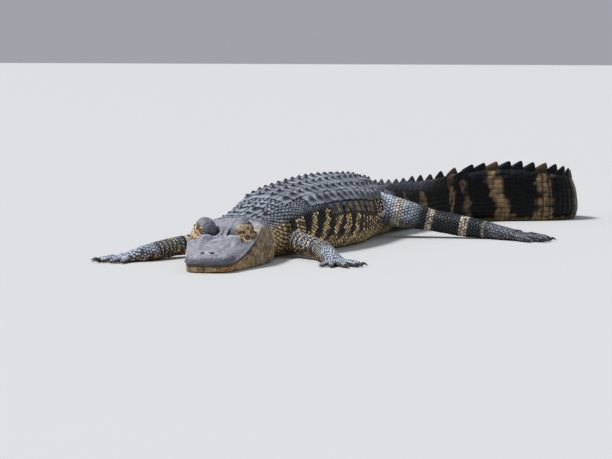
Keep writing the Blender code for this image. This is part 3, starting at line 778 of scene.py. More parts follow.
def domeReach(s, across):
    # 1 at the foot of the dome over each eye, less on it and more outside it
    s0, across0, _ = head["browPlace"]
    return np.hypot((s - s0) / head["browRadii"][1], (np.abs(across) - across0) / head["browRadii"][0])


def lidReach(s, across, up):
    # under 1 on the mottled lid skin in front of and below each eye
    place, spread = head["lidPlace"], head["lidSpread"]
    here = (s, np.abs(across), up)
    return np.sqrt(sum(((value - middle) / reach) ** 2 for value, middle, reach in zip(here, place, spread)))


def formed(value, form):
    middle, width, depth = form
    return depth * bell(value, middle, width)


def shapeMouth(move, normals, s, across, gap, onHead):
    # deep under the lip and closing at the hinge of the jaw
    lipRim = follow(headSections, s)[..., 0] * snoutFront(s)
    upright = 1 - ramp(np.abs(normals[:, 2]), 0.55, 0.85)
    outside = upright * ((np.abs(across) > lipRim * 0.6) | (s < 0.02))
    fade = (1 - ramp(s, 0.196, 0.212)) * outside * onHead
    move -= formed(gap, relief["mouth"]) * fade
    waves = 0.5 + 0.5 * np.sin(s * 2 * math.pi / relief["lipWave"] + 0.8)
    move += formed(gap, relief["lip"]) * fade * (0.4 + waves) * ramp(s, 0.006, 0.03)


def shapeLids(move, points, side, onHead):
    distance, y, reach = slitDistance(points, side)
    near = onHead & (reach < 0.0175) & (np.abs(y) < 0.0125)
    half = eyeOpening(y)
    inSlit = 1 - ramp(np.abs(distance), half - 0.0002, half + 0.0011)
    move -= relief["slitDepth"] * inSlit * near * (half > 0)
    rimOut, rimWidth, rimHeight = relief["lidRim"]
    move += rimHeight * bell(np.abs(distance), half + rimOut, rimWidth) * near
    fold = sum(formed(distance, form) for form in relief["lidFolds"])
    move -= relief["lidFoldDepth"] * fold * onHead * (reach < 0.024) * (1 - ramp(np.abs(y), 0.010, 0.015))


def fromPlace(points, key, side):
    # offsets from a named place on the head
    place = head[key]
    return points - onBody(place[0], side * place[1], place[2])


def shapeNostril(move, points, side, onHead):
    # a raised rim round a crescent
    local = fromPlace(points, "nostrilPlace", side)
    back, slant = np.array(tuple(backwards(0.02))), relief["nostrilSlant"]
    x, y = local @ np.array([back[1], -back[0], 0.0]) * side, local @ back
    x, y = x + slant * y, y - slant * x
    reach = np.hypot(x / relief["nostrilSize"][0], y / relief["nostrilSize"][1])
    near = onHead & (local[:, 2] > -0.006) & (np.linalg.norm(local, axis=1) < 0.012)
    move -= relief["nostrilDepth"] * np.exp(-(reach**3)) * near
    rimAt, rimWidth, rimHeight = relief["nostrilRim"]
    move += rimHeight * bell(reach, rimAt, rimWidth) * near


def shapeEar(move, points, side, onHead):
    # a slit under the edge of the skull table
    local = fromPlace(points, "earPlace", side)
    y = local @ np.array(tuple(backwards(0.18)))
    near = onHead & (np.abs(y) < 0.013) & (np.linalg.norm(local, axis=1) < 0.02)
    move -= formed(local[:, 2], relief["ear"]) * (1 - ramp(np.abs(y), 0.008, 0.013)) * near


def shapeDomes(move, s, across, top):
    # a hollow at the foot of each dome in front and on the inner side, then a soft ridge and a second crease
    foot = domeReach(s, across)
    inner = ramp(head["browPlace"][1] - np.abs(across), -0.004, 0.006)
    before = ramp(head["browPlace"][0] - s, -0.004, 0.010)
    beside = np.maximum(inner * (1 - ramp(s, 0.165, 0.180)), before) * top
    move -= formed(foot, relief["domeFoot"]) * beside
    move += formed(foot, relief["domeRidge"]) * beside
    move -= formed(foot, relief["domeCrease"]) * beside * (1 - ramp(s, 0.150, 0.170))
    between = (1 - ramp(np.abs(across), 0.0085, 0.0115)) * bell(s, 0.150, 0.022)  # upright wrinkles
    move -= relief["browWrinkle"] * stripe(across / relief["browWrinklePitch"]) * between * top


def shapeSkull(move, s, across, top):
    # a groove down each side of the snout, a ridge across it before the eyes, and the edge of the skull table
    reach = np.abs(across)
    along = ramp(s, 0.035, 0.055) * (1 - ramp(s, 0.095, 0.115))
    move -= relief["snoutGroove"] * bell(reach, 0.0125 + 0.10 * s, 0.0035) * along * top
    move += relief["crossRidge"] * bell(s, 0.112 + 0.22 * reach, 0.0040) * (reach < 0.024) * top
    rear = ramp(s, 0.168, 0.178) * top
    move += formed(reach, relief["tableEdge"]) * rear * (1 - ramp(s, 0.222, 0.232))


def shapeBone(move, points, top):
    # bone texture of the upper head; gives back its rough part for the cheeks
    warp = points + 0.003 * (layeredNoise(points, 0.012, 8, 2) - 0.5)[:, None]
    rough = layeredNoise(warp, 0.010, 3, 3) - 0.5
    pits = np.abs(softNoise(warp, 0.0050, 9) - 0.5)
    cracks = np.abs(softNoise(warp, 0.0085, 11) - 0.5)
    grain = layeredNoise(points, 0.0042, 13, 2) - 0.5
    creases = np.exp(-((pits / 0.07) ** 2)) + np.exp(-((cracks / 0.045) ** 2))
    move += (relief["rough"] * rough + relief["grain"] * grain - relief["crease"] * creases) * top
    return rough


def shapeCheeks(move, points, s, across, gap, rough, onHead):
    cheek = onHead * ramp(-gap, 0.001, 0.005)
    folds = np.sin(s * 2 * math.pi / 0.0105 + 6 * softNoise(points, 0.03, 5) + 14 * gap)
    move += (relief["cheekFold"] * folds * ramp(s, 0.08, 0.13) + relief["cheekRough"] * rough) * cheek
    middle, width, height = relief["hinge"]
    hinge = bell(gap, middle, width) * ramp(s, 0.150, 0.165) * (1 - ramp(s, 0.206, 0.222))
    move += height * hinge * onHead * (np.abs(across) > 0.045)


def shapeHead(points, normals, parts):
    # gives back the shaped points and how far each was moved
    s, across = headTerms(points)
    onHead = np.isin(parts, ("head", "jaw")) & (s < 0.25)
    gap = points[:, 2] - mouthHeight(s)
    top = onHead * ramp(gap, 0.004, 0.009)
    move = np.zeros(len(points))
    shapeMouth(move, normals, s, across, gap, onHead)
    for side in (1, -1):
        shapeLids(move, points, side, onHead)
    for side in (1, -1):
        shapeNostril(move, points, side, onHead)
    for side in (1, -1):
        shapeEar(move, points, side, onHead)
    shapeDomes(move, s, across, top)
    shapeSkull(move, s, across, top)
    rough = shapeBone(move, points, top)
    shapeCheeks(move, points, s, across, gap, rough, onHead)
    return points + normals * move[:, None], move * onHead


def shapeFolds(points, normals, parts, s, across):
    # soft folds round the neck and before the thigh
    move = np.zeros(len(points))
    neck = np.exp(-(((s - 0.30) / 0.045) ** 2)) * (parts == "body")
    low = 1 - ramp(points[:, 2], 0.055, 0.085)
    waves = 0.5 + 0.5 * np.sin(s * 2 * math.pi / skin["foldPitch"] + 3 * across / 0.05)
    move -= skin["foldDepth"] * neck * low * waves
    hipS, hipAcross, hipUp = limbs["hindRoot"]
    for side in (1, -1):
        hip = onBody(hipS - 0.03, side * hipAcross, hipUp - 0.01)
        reach = np.linalg.norm(points - hip, axis=1)
        waves = 0.5 + 0.5 * np.sin(reach * 2 * math.pi / skin["hipFoldPitch"])
        move -= skin["hipFoldDepth"] * np.exp(-((reach / 0.055) ** 2)) * waves
    fine = layeredNoise(points, 0.006, 21, 2) - 0.5
    move += skin["grainDepth"] * fine * ~np.isin(parts, ("head", "jaw"))
    return points + normals * move[:, None]


def refine(obj, chosen):
    work = bmesh.new()
    work.from_mesh(obj.data)
    work.verts.ensure_lookup_table()
    picked = set(np.flatnonzero(chosen).tolist())
    edges = [e for e in work.edges if e.verts[0].index in picked and e.verts[1].index in picked]
    bmesh.ops.subdivide_edges(work, edges=edges, cuts=1, use_grid_fill=True)
    bmesh.ops.triangulate(work, faces=[f for f in work.faces if len(f.verts) > 3])
    work.to_mesh(obj.data)
    work.free()


def nearFeatures(points):
    # the mouth line and the upper head, where the skin's faces are made finer
    s, across = headTerms(points)
    gap = points[:, 2] - mouthHeight(s)
    chosen = (s < 0.205) & (np.abs(gap) < 0.004) & (np.abs(across) < 0.08)
    chosen |= (s < 0.180) & (gap > 0.003) & (np.abs(across) < 0.07)
    return chosen


def buildHide():
    hide = joined("hide", [shell[1:3] for shell in shells])
    modifier = hide.modifiers.new("Fuse", "REMESH")
    modifier.mode = "VOXEL"
    modifier.voxel_size = skin["voxel"]
    applyModifiers(hide)
    print("hide fused:", len(hide.data.polygons))
    points = readPoints(hide.data)
    s, across = headTerms(points)
    inHead = (s < 0.235) & (np.abs(across) < skin["headSide"])
    edges = readEdges(hide.data)
    points = relax(points, edges, skin["headSmoothing"], np.full(len(points), 0.5))
    points = relax(points, edges, skin["smoothing"], np.where(inHead, 0.0, 0.5))
    nape = bell(s, *skin["nape"]) * (np.abs(across) < skin["headSide"])
    points = relax(points, edges, skin["napeSmoothing"], 0.6 * nape)
    points[:, 2] = np.maximum(points[:, 2], 0.0)
    writePoints(hide.data, points)
    group = hide.vertex_groups.new(name="plain")
    group.add(np.flatnonzero(~inHead).tolist(), 1.0, "REPLACE")
    modifier = hide.modifiers.new("Thin", "DECIMATE")
    modifier.vertex_group = "plain"
    modifier.vertex_group_factor = 1.0
    triangles = len(hide.data.polygons) * 2
    modifier.ratio = min(1.0, skin["faceTarget"] * 0.86 / triangles)
    applyModifiers(hide)
    hide.vertex_groups.clear()
    refine(hide, nearFeatures(readPoints(hide.data)))
    points = readPoints(hide.data)
    fine = nearFeatures(points)
    points = relax(points, readEdges(hide.data), skin["headSmoothing"], np.where(fine, 0.5, 0.0))
    writePoints(hide.data, points)
    parts, along = whereOnBody(points)
    points, cavity = shapeHead(points, readNormals(hide.data), parts)
    writePoints(hide.data, points)
    s, across = trunkTerms(points, parts, along)
    points = shapeFolds(points, readNormals(hide.data), parts, s, across)
    points[:, 2] = np.maximum(points[:, 2], 0.0)
    writePoints(hide.data, points)
    print("hide shaped:", len(hide.data.polygons))
    return hide, parts, along, cavity


hide, hideParts, hideAlong, hideCavity = buildHide()

# Markings

marks = {
    "slate": paint(113, 118, 128),
    "black": paint(14, 13, 13),
    "tailBlack": paint(7, 7, 8),
    "tan": paint(126, 104, 76),
    "spot": paint(206, 172, 112),
    "cream": paint(204, 192, 170),
    "belly": paint(176, 158, 112),
    "headGrey": paint(160, 160, 172),
    "headWarm": paint(126, 118, 112),
    "muzzleDark": paint(84, 80, 93),
    "cheek": paint(84, 87, 74),
    "olive": paint(164, 138, 96),
    "oliveDark": paint(96, 82, 56),
    "oliveLight": paint(192, 162, 102),
    "lipOrange": paint(172, 108, 46),
    "mauve": paint(120, 84, 92),
    "lidTan": paint(228, 202, 160),
    "lidBrown": paint(50, 34, 22),
    "limbGrey": paint(124, 129, 141),
    "wrist": paint(172, 179, 193),
    "pale": paint(186, 166, 160),
}
# middle, half width and strength of each band across the tail, and its slant in metres a metre of height
tailBands = (
    (0.895, 0.010, 0.45, -0.2), (0.965, 0.011, 0.55, -0.2), (1.062, 0.015, 0.80, -0.35),
    (1.197, 0.010, 0.85, 0.0), (1.252, 0.012, 0.65, -0.2), (1.346, 0.017, 1.00, -0.32),
    (1.441, 0.016, 1.00, 0.05), (1.525, 0.015, 0.95, 0.0), (1.600, 0.014, 0.95, 0.0),
    (1.670, 0.012, 0.90, 0.0), (1.730, 0.010, 0.85, 0.0),
)
# middle, half width and strength of each band across the hind leg, in shares of its length
hindBands = ((0.245, 0.034, 1.0), (0.475, 0.026, 1.0), (0.737, 0.034, 0.9), (0.93, 0.025, 0.4))
# how far apart the markings lie, in metres, or in shares of a limb for the two of the legs
spacing = {
    "tailRagged": 0.034,
    "cluster": 0.0455,
    "clusterStart": 0.362,
    "clusterLean": 0.5,
    "fold": 0.0185,
    "foldLean": 0.15,
    "bellyStreak": 0.019,
    "backBand": 0.086,
    "neckStripe": 0.0150,
    "legRing": 0.020,
    "foreLine": 0.052,
    "jawStreak": 0.0125,
}


def blend(base, over, share):
    share = np.asarray(share, float)[..., None]
    return base * (1 - share) + over * share


def tailPaint(points, s, up, high):
    mottle = layeredNoise(points, 0.008, 33, 2)
    colour = np.tile(marks["tailBlack"], (len(s), 1))
    colour = blend(colour, marks["slate"], (0.08 + 0.25 * (1 - ramp(s, 1.0, 1.2))) * ramp(high, 0.80, 1.0))
    ragged = (layeredNoise(points, 0.014, 31, 3) - 0.5) * spacing["tailRagged"]
    tan = marks["tan"] * (0.75 + 0.6 * mottle)[:, None]
    for middle, half, strength, slant in tailBands:
        away = np.abs(s - middle - slant * (up - 0.05) + ragged)
        share = strength * (1 - ramp(away, half * 0.62, half * 1.10)) * ramp(mottle, 0.22, 0.50)
        colour = blend(colour, tan, share * ramp(high, -0.4, 0.05))
    return blend(colour, marks["belly"], 0.45 * (1 - ramp(high, 0.02, 0.08)))


def flankSpots(points, s, up, high):
    # how thick the yellow scales lie: leaning clusters that run together into folds before the thigh
    noise = layeredNoise(points, 0.016, 45, 2)
    lean = spacing["clusterLean"] * (up - 0.045)
    band = stripe((s - lean - spacing["clusterStart"]) / spacing["cluster"])
    folds = stripe((s + spacing["foldLean"] * (up - 0.05)) / spacing["fold"])
    share = ramp(band + 1.3 * (noise - 0.5), 0.26, 0.66) * 0.90
    intoFolds = ramp(s, 0.60, 0.64)
    share = share * (1 - intoFolds) + ramp(folds, 0.45, 0.85) * 0.8 * intoFolds * (1 - ramp(s, 0.80, 0.86))
    return share * (1 - ramp(high, 0.62, 0.72))


def trunkPaint(points, s, up, high):
    fine, wide = layeredNoise(points, 0.010, 41, 2), layeredNoise(points, 0.03, 43, 2)
    flank = np.tile(marks["black"], (len(s), 1))
    flank = blend(flank, marks["spot"], 0.25 * flankSpots(points, s, up, high))
    streak = 0.25 + 0.7 * ramp(stripe(s / spacing["bellyStreak"] + wide), 0.3, 0.8)
    flank = blend(flank, marks["belly"], (1 - ramp(high, 0.12, 0.26)) * streak)
    flank = blend(flank, marks["belly"], 1 - ramp(high, 0.03, 0.10))
    back = marks["slate"] * (0.72 + 0.5 * wide + 0.2 * fine)[:, None]
    back = blend(back, marks["black"], 0.30 * ramp(stripe((s - 0.40) / spacing["backBand"]), 0.6, 0.95))
    colour = blend(flank, back, ramp(high, 0.66, 0.78))
    stripes = ramp(stripe(s / spacing["neckStripe"] + 0.6 * fine), 0.12, 0.50) * 0.95
    neck = blend(np.tile(marks["oliveDark"] * 0.5, (len(s), 1)), marks["cream"], stripes)
    neck = blend(neck, marks["spot"], 0.10 + 0.80 * fine)
    neck = blend(neck, marks["slate"] * 0.95, ramp(high, 0.60, 0.78))
    return blend(colour, neck, 1 - ramp(s, 0.315, 0.350))


def limbPaint(points, t, hind, shade):
    # t is 0 at the root of a limb, 1 at the wrist and 2 at the toes; shade is how far the skin faces up
    fine, wide = layeredNoise(points, 0.006, 51, 2), layeredNoise(points, 0.02, 53, 2)
    colour = marks["limbGrey"] * (0.66 + 0.6 * wide)[:, None]
    colour = colour * np.where(hind & (t < 0.4), 1.9, 1.0)[:, None]
    colour = blend(colour, marks["wrist"], np.where(hind, 0.0, 0.7 * ramp(t, 0.70, 0.86)))
    # the sides that face down are darkened as painted shade; the yellow spots on them are the skin's own colour
    below = np.where(hind, 1 - ramp(shade, -0.65, -0.15), 1 - ramp(shade, -0.30, 0.20))
    dark = np.where(hind, 0.75, 0.95) * (1 - ramp(t, 0.9, 1.0) * 0.6)
    colour = blend(colour, marks["black"], below * dark)
    colour = blend(colour, marks["spot"], below * ramp(fine, 0.44, 0.60) * np.where(hind, 0.30, 0.90))
    shin = ramp(t, 0.28, 0.42) * (0.93 - 0.50 * ramp(t, 0.93, 1.05))
    colour = blend(colour, marks["black"], np.where(hind, shin, 0.0))
    for middle, half, strength in hindBands:
        away = np.abs(t - middle) + (fine - 0.5) * 0.05
        share = strength * (1 - ramp(away, half * 0.6, half)) * ramp(fine, 0.22, 0.50)
        colour = blend(colour, marks["cream"], np.where(hind, share * 0.85, 0.0))
    rings = 0.30 * ramp(stripe(t / spacing["legRing"]), 0.7, 0.95) * (1 - ramp(t, 0.20, 0.30))
    colour = blend(colour, marks["cream"], np.where(hind, rings, 0.0))
    lines = stripe(t / spacing["foreLine"] + 12 * points[:, 2] + 0.4 * wide)
    onFore = (~hind) & (t < 0.80)
    colour = blend(colour, marks["black"], np.where(onFore, (1 - ramp(lines, 0.12, 0.42)) * 0.92, 0.0))
    pale = ramp(lines, 0.66, 0.88) * 0.92 * (1 - 0.8 * below)
    return blend(colour, marks["cream"], np.where(onFore, pale, 0.0))


def upperHeadPaint(s, across, gap, noises):
    # grey bone skin, a dark muzzle, dull cheeks, and domes with painted shade in the hollow at their foot
    fine, medium, wide = noises
    reach = np.abs(across)
    colour = marks["headGrey"] * (0.42 + 0.50 * fine + 0.36 * medium + 0.30 * wide)[:, None]
    colour = blend(colour, marks["headWarm"], 0.45 * ramp(medium, 0.50, 0.66))
    muzzle = (1 - ramp(s, 0.030, 0.060)) * (1 - ramp(gap + 0.006 * (wide - 0.5), 0.009, 0.016))
    colour = blend(colour, marks["muzzleDark"] * (0.7 + 0.6 * fine)[:, None], 0.85 * muzzle)
    behind = ramp(s, 0.110, 0.135) * (1 - ramp(gap, 0.004, 0.014)) * ramp(reach, 0.045, 0.052)
    colour = blend(colour, marks["cheek"] * (0.7 + 0.6 * medium)[:, None], 0.75 * behind)
    foot = domeReach(s, across)
    inner = np.maximum(ramp(head["browPlace"][1] - reach, -0.002, 0.004), ramp(0.140 - s, 0.0, 0.012))
    # painted shade in the hollow at the foot of each dome, on its front and inner side
    colour = blend(colour, marks["black"] * 2, 0.85 * bell(foot, 1.13, 0.13) * (s < 0.175) * inner)
    return blend(colour, colour * 0.62, 0.8 * (1 - ramp(foot, 0.85, 1.05)) * (gap > 0.006))


def jawPaint(s, across, gap, noises):
    # olive, orange at the left lip, yellower behind it, then mauve and pale streaks
    fine, medium, wide = noises
    jaw = blend(np.tile(marks["olive"], (len(s), 1)), marks["oliveDark"], ramp(medium, 0.40, 0.62) * 0.80)
    yellow = ramp(s, 0.050, 0.070) * (1 - ramp(s, 0.115, 0.135))
    jaw = blend(jaw, marks["oliveLight"], 0.70 * yellow * ramp(wide + 0.4 * (fine - 0.5), 0.36, 0.56))
    jaw = blend(jaw, marks["mauve"], 0.55 * bell(s, 0.100, 0.018) * ramp(medium, 0.54, 0.62))
    streak = stripe(s / spacing["jawStreak"] + 1.2 * wide + 8 * gap)
    jaw = blend(jaw, marks["pale"], 0.30 * ramp(streak, 0.55, 0.90) * ramp(s, 0.115, 0.140))
    orange = bell(gap, -0.0065, 0.0045) * ramp(s, 0.004, 0.016) * (1 - ramp(s, 0.050, 0.068))
    toLeft = 0.25 + 0.75 * ramp(across, 0.010, 0.026)
    jaw = blend(jaw, marks["lipOrange"], 0.85 * orange * toLeft * ramp(fine, 0.2, 0.5))
    # painted shadow under the overhang of the upper lip, along the mouth line
    return blend(jaw, marks["black"], 0.85 * bell(gap, -0.0012, 0.0020) * (1 - ramp(s, 0.19, 0.21)))


def lidPaint(colour, points, s, across, gap, noises, side):
    # the mottled lid skin of one side, with painted shade in its slit and in its nostril
    fine, medium, _ = noises
    distance, y, away = slitDistance(points, side)
    cells = layeredNoise(points, 0.0072, 67, 2)
    lid = blend(marks["lidTan"] * (0.65 + 0.5 * fine)[:, None], marks["lidBrown"] * 1.4,
                ramp(cells, 0.52, 0.60) * 0.9)
    lid = blend(lid, marks["lipOrange"] * 1.1, 0.55 * ramp(medium, 0.50, 0.70))
    ragged = lidReach(s, across, points[:, 2]) + 0.70 * (medium - 0.5)
    patch = (1 - ramp(ragged, 0.84, 1.08)) * (side * across > 0)
    colour = blend(colour, lid, patch * ((distance < 0.0008) | (away > 0.020)) * (gap > 0.002))
    half = eyeOpening(y)
    # painted shade in the slit between the lids
    slit = (1 - ramp(np.abs(distance), half, half + 0.0012)) * (away < 0.0175) * (np.abs(y) < 0.0118)
    colour = blend(colour, marks["tailBlack"], slit * 0.95)
    # painted shade in the nostril
    reach = np.linalg.norm(fromPlace(points, "nostrilPlace", side), axis=1)
    return blend(colour, marks["tailBlack"], np.exp(-((reach / 0.0042) ** 2)) * 0.85)


def headPaint(points, s, across, up):
    noises = [layeredNoise(points, size, seed, 2) for size, seed in ((0.0032, 61), (0.0085, 62), (0.024, 63))]
    gap = up - mouthHeight(s)
    ridge = bell(gap, 0.0010, 0.0040) * ramp(s, 0.135, 0.150) * (1 - ramp(s, 0.205, 0.222))
    colour = blend(upperHeadPaint(s, across, gap, noises), marks["pale"], 0.70 * ridge)
    jaw = blend(jawPaint(s, across, gap, noises), marks["pale"], 0.80 * ridge)
    colour = blend(colour, jaw, 1 - ramp(gap, -0.0008, 0.0004))
    for side in (1, -1):
        colour = lidPaint(colour, points, s, across, gap, noises, side)
    return colour


def paintPlaces(points, parts, along, normals):
    # the hide's own colour at each place, from its part and its distance along that part
    colour = np.zeros((len(points), 3))
    up = points[:, 2]
    onTrunk = parts == "body"
    onHead = np.isin(parts, ("head", "jaw"))
    s, across = bodyTerms(points, np.where(onTrunk, along, head["middleS"]))
    high = up / follow(bodySections, s)[..., 1]
    tail = ramp(s, 0.875, 0.915)[:, None]
    trunk = trunkPaint(points, s, up, high) * (1 - tail) + tailPaint(points, s, up, high) * tail
    colour[onTrunk] = trunk[onTrunk]
    headTone = headPaint(points, s, across, up)
    colour[onHead] = headTone[onHead]
    onLimb = ~(onTrunk | onHead)
    hind = np.char.startswith(parts.astype(str), "hind")
    limb = limbPaint(points, along, hind, normals[:, 2])
    colour[onLimb] = limb[onLimb]
    return np.clip(colour, 0.002, 1.0)


def writeTint(mesh, colours, paintedLightLevels):
    storeLayer(mesh, "tint", "FLOAT_COLOR", colours)
    storeLayer(mesh, "crown", "FLOAT", paintedLightLevels)


finish = {
    "gritScale": 420.0,
    "wrinkleScale": 130.0,
    "cellScale": 260.0,
    "wrinkleDetail": 6.0,
    "wrinkleRoughness": 0.65,
    "mottle": (0.68, 1.32),
    "glossBelow": 0.10,
    "glossAbove": 0.14,
    "crackWidth": 0.12,
    "crackShare": 0.45,
}
# roughness, specular level, how dark the painted shade in the seams and how light the painted highlight on the
# tops are, bump strength and depth
finishes = {
    "hide": (0.50, 0.28, 0.06, 1.45, 0.55, 0.0007),
    "horn_scutes": (0.38, 0.45, 0.02, 1.85, 0.35, 0.0004),
    "scales": (0.42, 0.30, 0.03, 1.75, 0.30, 0.0003),
    "tail_horn": (0.44, 0.14, 0.05, 1.45, 0.30, 0.0003),
    "claw_horn": (0.34, 0.40, 0.30, 1.30, 0.15, 0.0002),
}


def hideMaterial(name):
    roughness, specular, low, high, bump, depth = finishes[name]
    made = bpy.data.materials.new(name)
    made.use_nodes = True
    tree = made.node_tree
    tree.nodes.clear()
    make, link = tree.nodes.new, tree.links.new

    def mapped(value, **limits):
        node = make("ShaderNodeMapRange")
        link(value, node.inputs["Value"])
        for socket, limit in limits.items():
            node.inputs[socket.replace("_", " ")].default_value = limit
        return node.outputs["Result"]

    output, shader = make("ShaderNodeOutputMaterial"), make("ShaderNodeBsdfPrincipled")
    link(shader.outputs["BSDF"], output.inputs["Surface"])
    tint, crown = make("ShaderNodeAttribute"), make("ShaderNodeAttribute")
    tint.attribute_name, crown.attribute_name = "tint", "crown"
    where = make("ShaderNodeTexCoord")
    grit, wrinkle = make("ShaderNodeTexNoise"), make("ShaderNodeTexNoise")
    cells = make("ShaderNodeTexVoronoi")
    for texture, key in ((grit, "gritScale"), (wrinkle, "wrinkleScale"), (cells, "cellScale")):
        link(where.outputs["Object"], texture.inputs["Vector"])
        texture.inputs["Scale"].default_value = finish[key]
    wrinkle.inputs["Detail"].default_value = finish["wrinkleDetail"]
    wrinkle.inputs["Roughness"].default_value = finish["wrinkleRoughness"]
    cells.feature = "DISTANCE_TO_EDGE"
    dull, bright = finish["mottle"]
    # the crown attribute scales the tint: low crown is painted shade in seams and hollows, high crown a painted
    # highlight on tops
    strength = make("ShaderNodeMath")
    strength.operation = "MULTIPLY"
    link(mapped(crown.outputs["Fac"], To_Min=low, To_Max=high), strength.inputs[0])
    link(mapped(wrinkle.outputs["Fac"], From_Min=0.3, From_Max=0.7, To_Min=dull, To_Max=bright),
         strength.inputs[1])
    scale = make("ShaderNodeVectorMath")
    scale.operation = "SCALE"
    link(tint.outputs["Color"], scale.inputs[0])
    link(strength.outputs["Value"], scale.inputs["Scale"])
    link(scale.outputs["Vector"], shader.inputs["Base Color"])
    link(mapped(grit.outputs["Fac"], From_Min=0.3, From_Max=0.7, To_Min=roughness - finish["glossBelow"],
                To_Max=roughness + finish["glossAbove"]), shader.inputs["Roughness"])
    height = make("ShaderNodeMath")
    height.operation = "MULTIPLY_ADD"
    link(mapped(cells.outputs["Distance"], From_Max=finish["crackWidth"]), height.inputs[0])
    height.inputs[1].default_value = finish["crackShare"]
    link(wrinkle.outputs["Fac"], height.inputs[2])
    bumps = make("ShaderNodeBump")
    bumps.inputs["Strength"].default_value = bump
    bumps.inputs["Distance"].default_value = depth
    link(height.outputs["Value"], bumps.inputs["Height"])
    link(bumps.outputs["Normal"], shader.inputs["Normal"])
    shader.inputs["Specular IOR Level"].default_value = specular
    return made


skinFinish, scuteFinish = hideMaterial("hide"), hideMaterial("horn_scutes")
scaleFinish, tailFinish = hideMaterial("scales"), hideMaterial("tail_horn")


def finishHide():
    points = readPoints(hide.data)
    normals = readNormals(hide.data)
    colours = paintPlaces(points, hideParts, hideAlong, normals)
    onHead = np.isin(hideParts, ("head", "jaw"))
    # on the head, painted shade in the hollows and painted light on the raised forms; on the body and limbs,
    # the skin between the scales is painted dark as shade
    paintedLightLevels = np.where(onHead, 0.66 + hideCavity / skin["cavityDepth"], 0.14)
    writeTint(hide.data, colours, np.clip(paintedLightLevels, 0.02, 1.0))
    hide.data.materials.clear()
    hide.data.materials.append(skinFinish)
    hide.data.shade_smooth()
    return points


hideSpots = finishHide()
print("hide painted")

# Scales: each family is a cloud of marked points that a node tree dresses with one pattern scale


def finishedPattern(name, points, faces, levels):
    obj = meshObject(name, points, faces)
    faceOutwards(obj.data, triangles=True)
    # crown holds each corner's level of painted light and shade
    storeLayer(obj.data, "crown", "FLOAT", levels)
    spots = np.array(points, np.float32)
    spots[:, 2] = 0
    storeLayer(obj.data, "patch", "FLOAT_VECTOR", spots)
    obj.data.shade_smooth()
    return obj


def closedPattern(name, tip, rings, paintedLightLevels, tipPaintedLight=1.0):
    # a pattern scale from rings of (x, y, z), closed over its tip
    count = len(rings[0])
    points = [p for ring in rings for p in ring] + [tip]
    faces = []
    for i in range(len(rings) - 1):
        for k in range(count):
            a, b = i * count + k, i * count + (k + 1) % count
            faces.append((a, b, b + count, a + count))
    last = (len(rings) - 1) * count
    faces += [(last + k, last + (k + 1) % count, len(points) - 1) for k in range(count)]
    faces.append(tuple(reversed(range(count))))
    # every ring and the tip take a level of painted light and shade, dark at the foot and a painted highlight
    # higher up
    levels = [level for level in paintedLightLevels for _ in range(count)] + [tipPaintedLight]
    return finishedPattern(name, points, faces, levels)


def slabPattern(name, xs, ys, height, crown, wall):
    # a thin slab: heights and levels of painted light and shade over a grid of x and y, walls down to the given
    # depth and painted in full shade, closed below
    cols, rows = len(xs), len(ys)
    points = [(x, y, height(x, y)) for y in ys for x in xs]
    levels = [crown(x, y) for y in ys for x in xs]
    faces = [(r * cols + c, r * cols + c + 1, (r + 1) * cols + c + 1, (r + 1) * cols + c)
             for r in range(rows - 1) for c in range(cols - 1)]
    rim = [c for c in range(cols)] + [r * cols + cols - 1 for r in range(1, rows)]
    rim += [(rows - 1) * cols + c for c in range(cols - 2, -1, -1)]
    rim += [r * cols for r in range(rows - 2, 0, -1)]
    base = len(points)
    for k in rim:
        points.append((points[k][0] * 1.02, points[k][1] * 1.02, wall))
        levels.append(0.0)
    for k in range(len(rim)):
        after = (k + 1) % len(rim)
        faces.append((rim[k], base + k, base + after, rim[after]))
    faces.append(tuple(base + k for k in range(len(rim))))
    return finishedPattern(name, points, faces, levels)


def edgeShare(x, y, width=0.10):
    # 0 at the rim of a slab, 1 inside it
    return min(1.0, (0.5 - abs(x)) / width, (0.5 - abs(y)) / width)


def keeledPattern():
    # a low slab with a sharp keel that climbs towards the tail and drops off steeply
    def height(x, y):
        climb = 0.22 + 0.78 * (y + 0.5) / 0.88 if y < 0.38 else 0.10
        keel = max(0.0, 1 - abs(x) / 0.27) ** 0.9 * climb
        return 0.14 + 0.05 * (y + 0.5) + 0.81 * keel

    # painted light and shade of the plate: painted shade in the seams at its rims, a dark keel that is partly
    # its own black horn and partly painted shade on its rear, and a painted highlight over the rest of its top
    def crown(x, y):
        if y > 0.45:
            return 0.0
        if abs(x) < 0.16 and y > -0.15:
            return 0.04
        if abs(x) < 0.27 and y > 0.10:
            return 0.22
        return 0.66 + 0.26 * min(1.0, max(0.0, edgeShare(x, 0.0))) - 0.45 * (y < -0.47)

    xs = (-0.5, -0.40, -0.24, -0.10, 0.0, 0.10, 0.24, 0.40, 0.5)
    ys = (-0.5, -0.40, -0.10, 0.18, 0.38, 0.46, 0.5)
    return slabPattern("pattern_keeled", xs, ys, height, crown, -0.6)


def flatPattern():
    # a flat plate with a chamfered rim
    def inside(x, y):
        return min(1.0, max(0.0, edgeShare(x, y, 0.07)))

    xs, ys = (-0.5, -0.43, 0.43, 0.5), (-0.5, -0.43, 0.0, 0.43, 0.5)
    # its rim is painted darker as shade in the seam and its top lighter as a painted highlight
    return slabPattern("pattern_flat", xs, ys, lambda x, y: 0.35 + 0.65 * inside(x, y),
                       lambda x, y: 0.30 + 0.38 * inside(x, y), -1.2)


def ovalRing(count, width, length, z, shift=0.0):
    spots = []
    for k in range(count):
        angle = 2 * math.pi * k / count
        x, y = width * math.cos(angle), length * math.sin(angle) + shift
        spots.append((x, y, z(x, y) if callable(z) else z))
    return spots


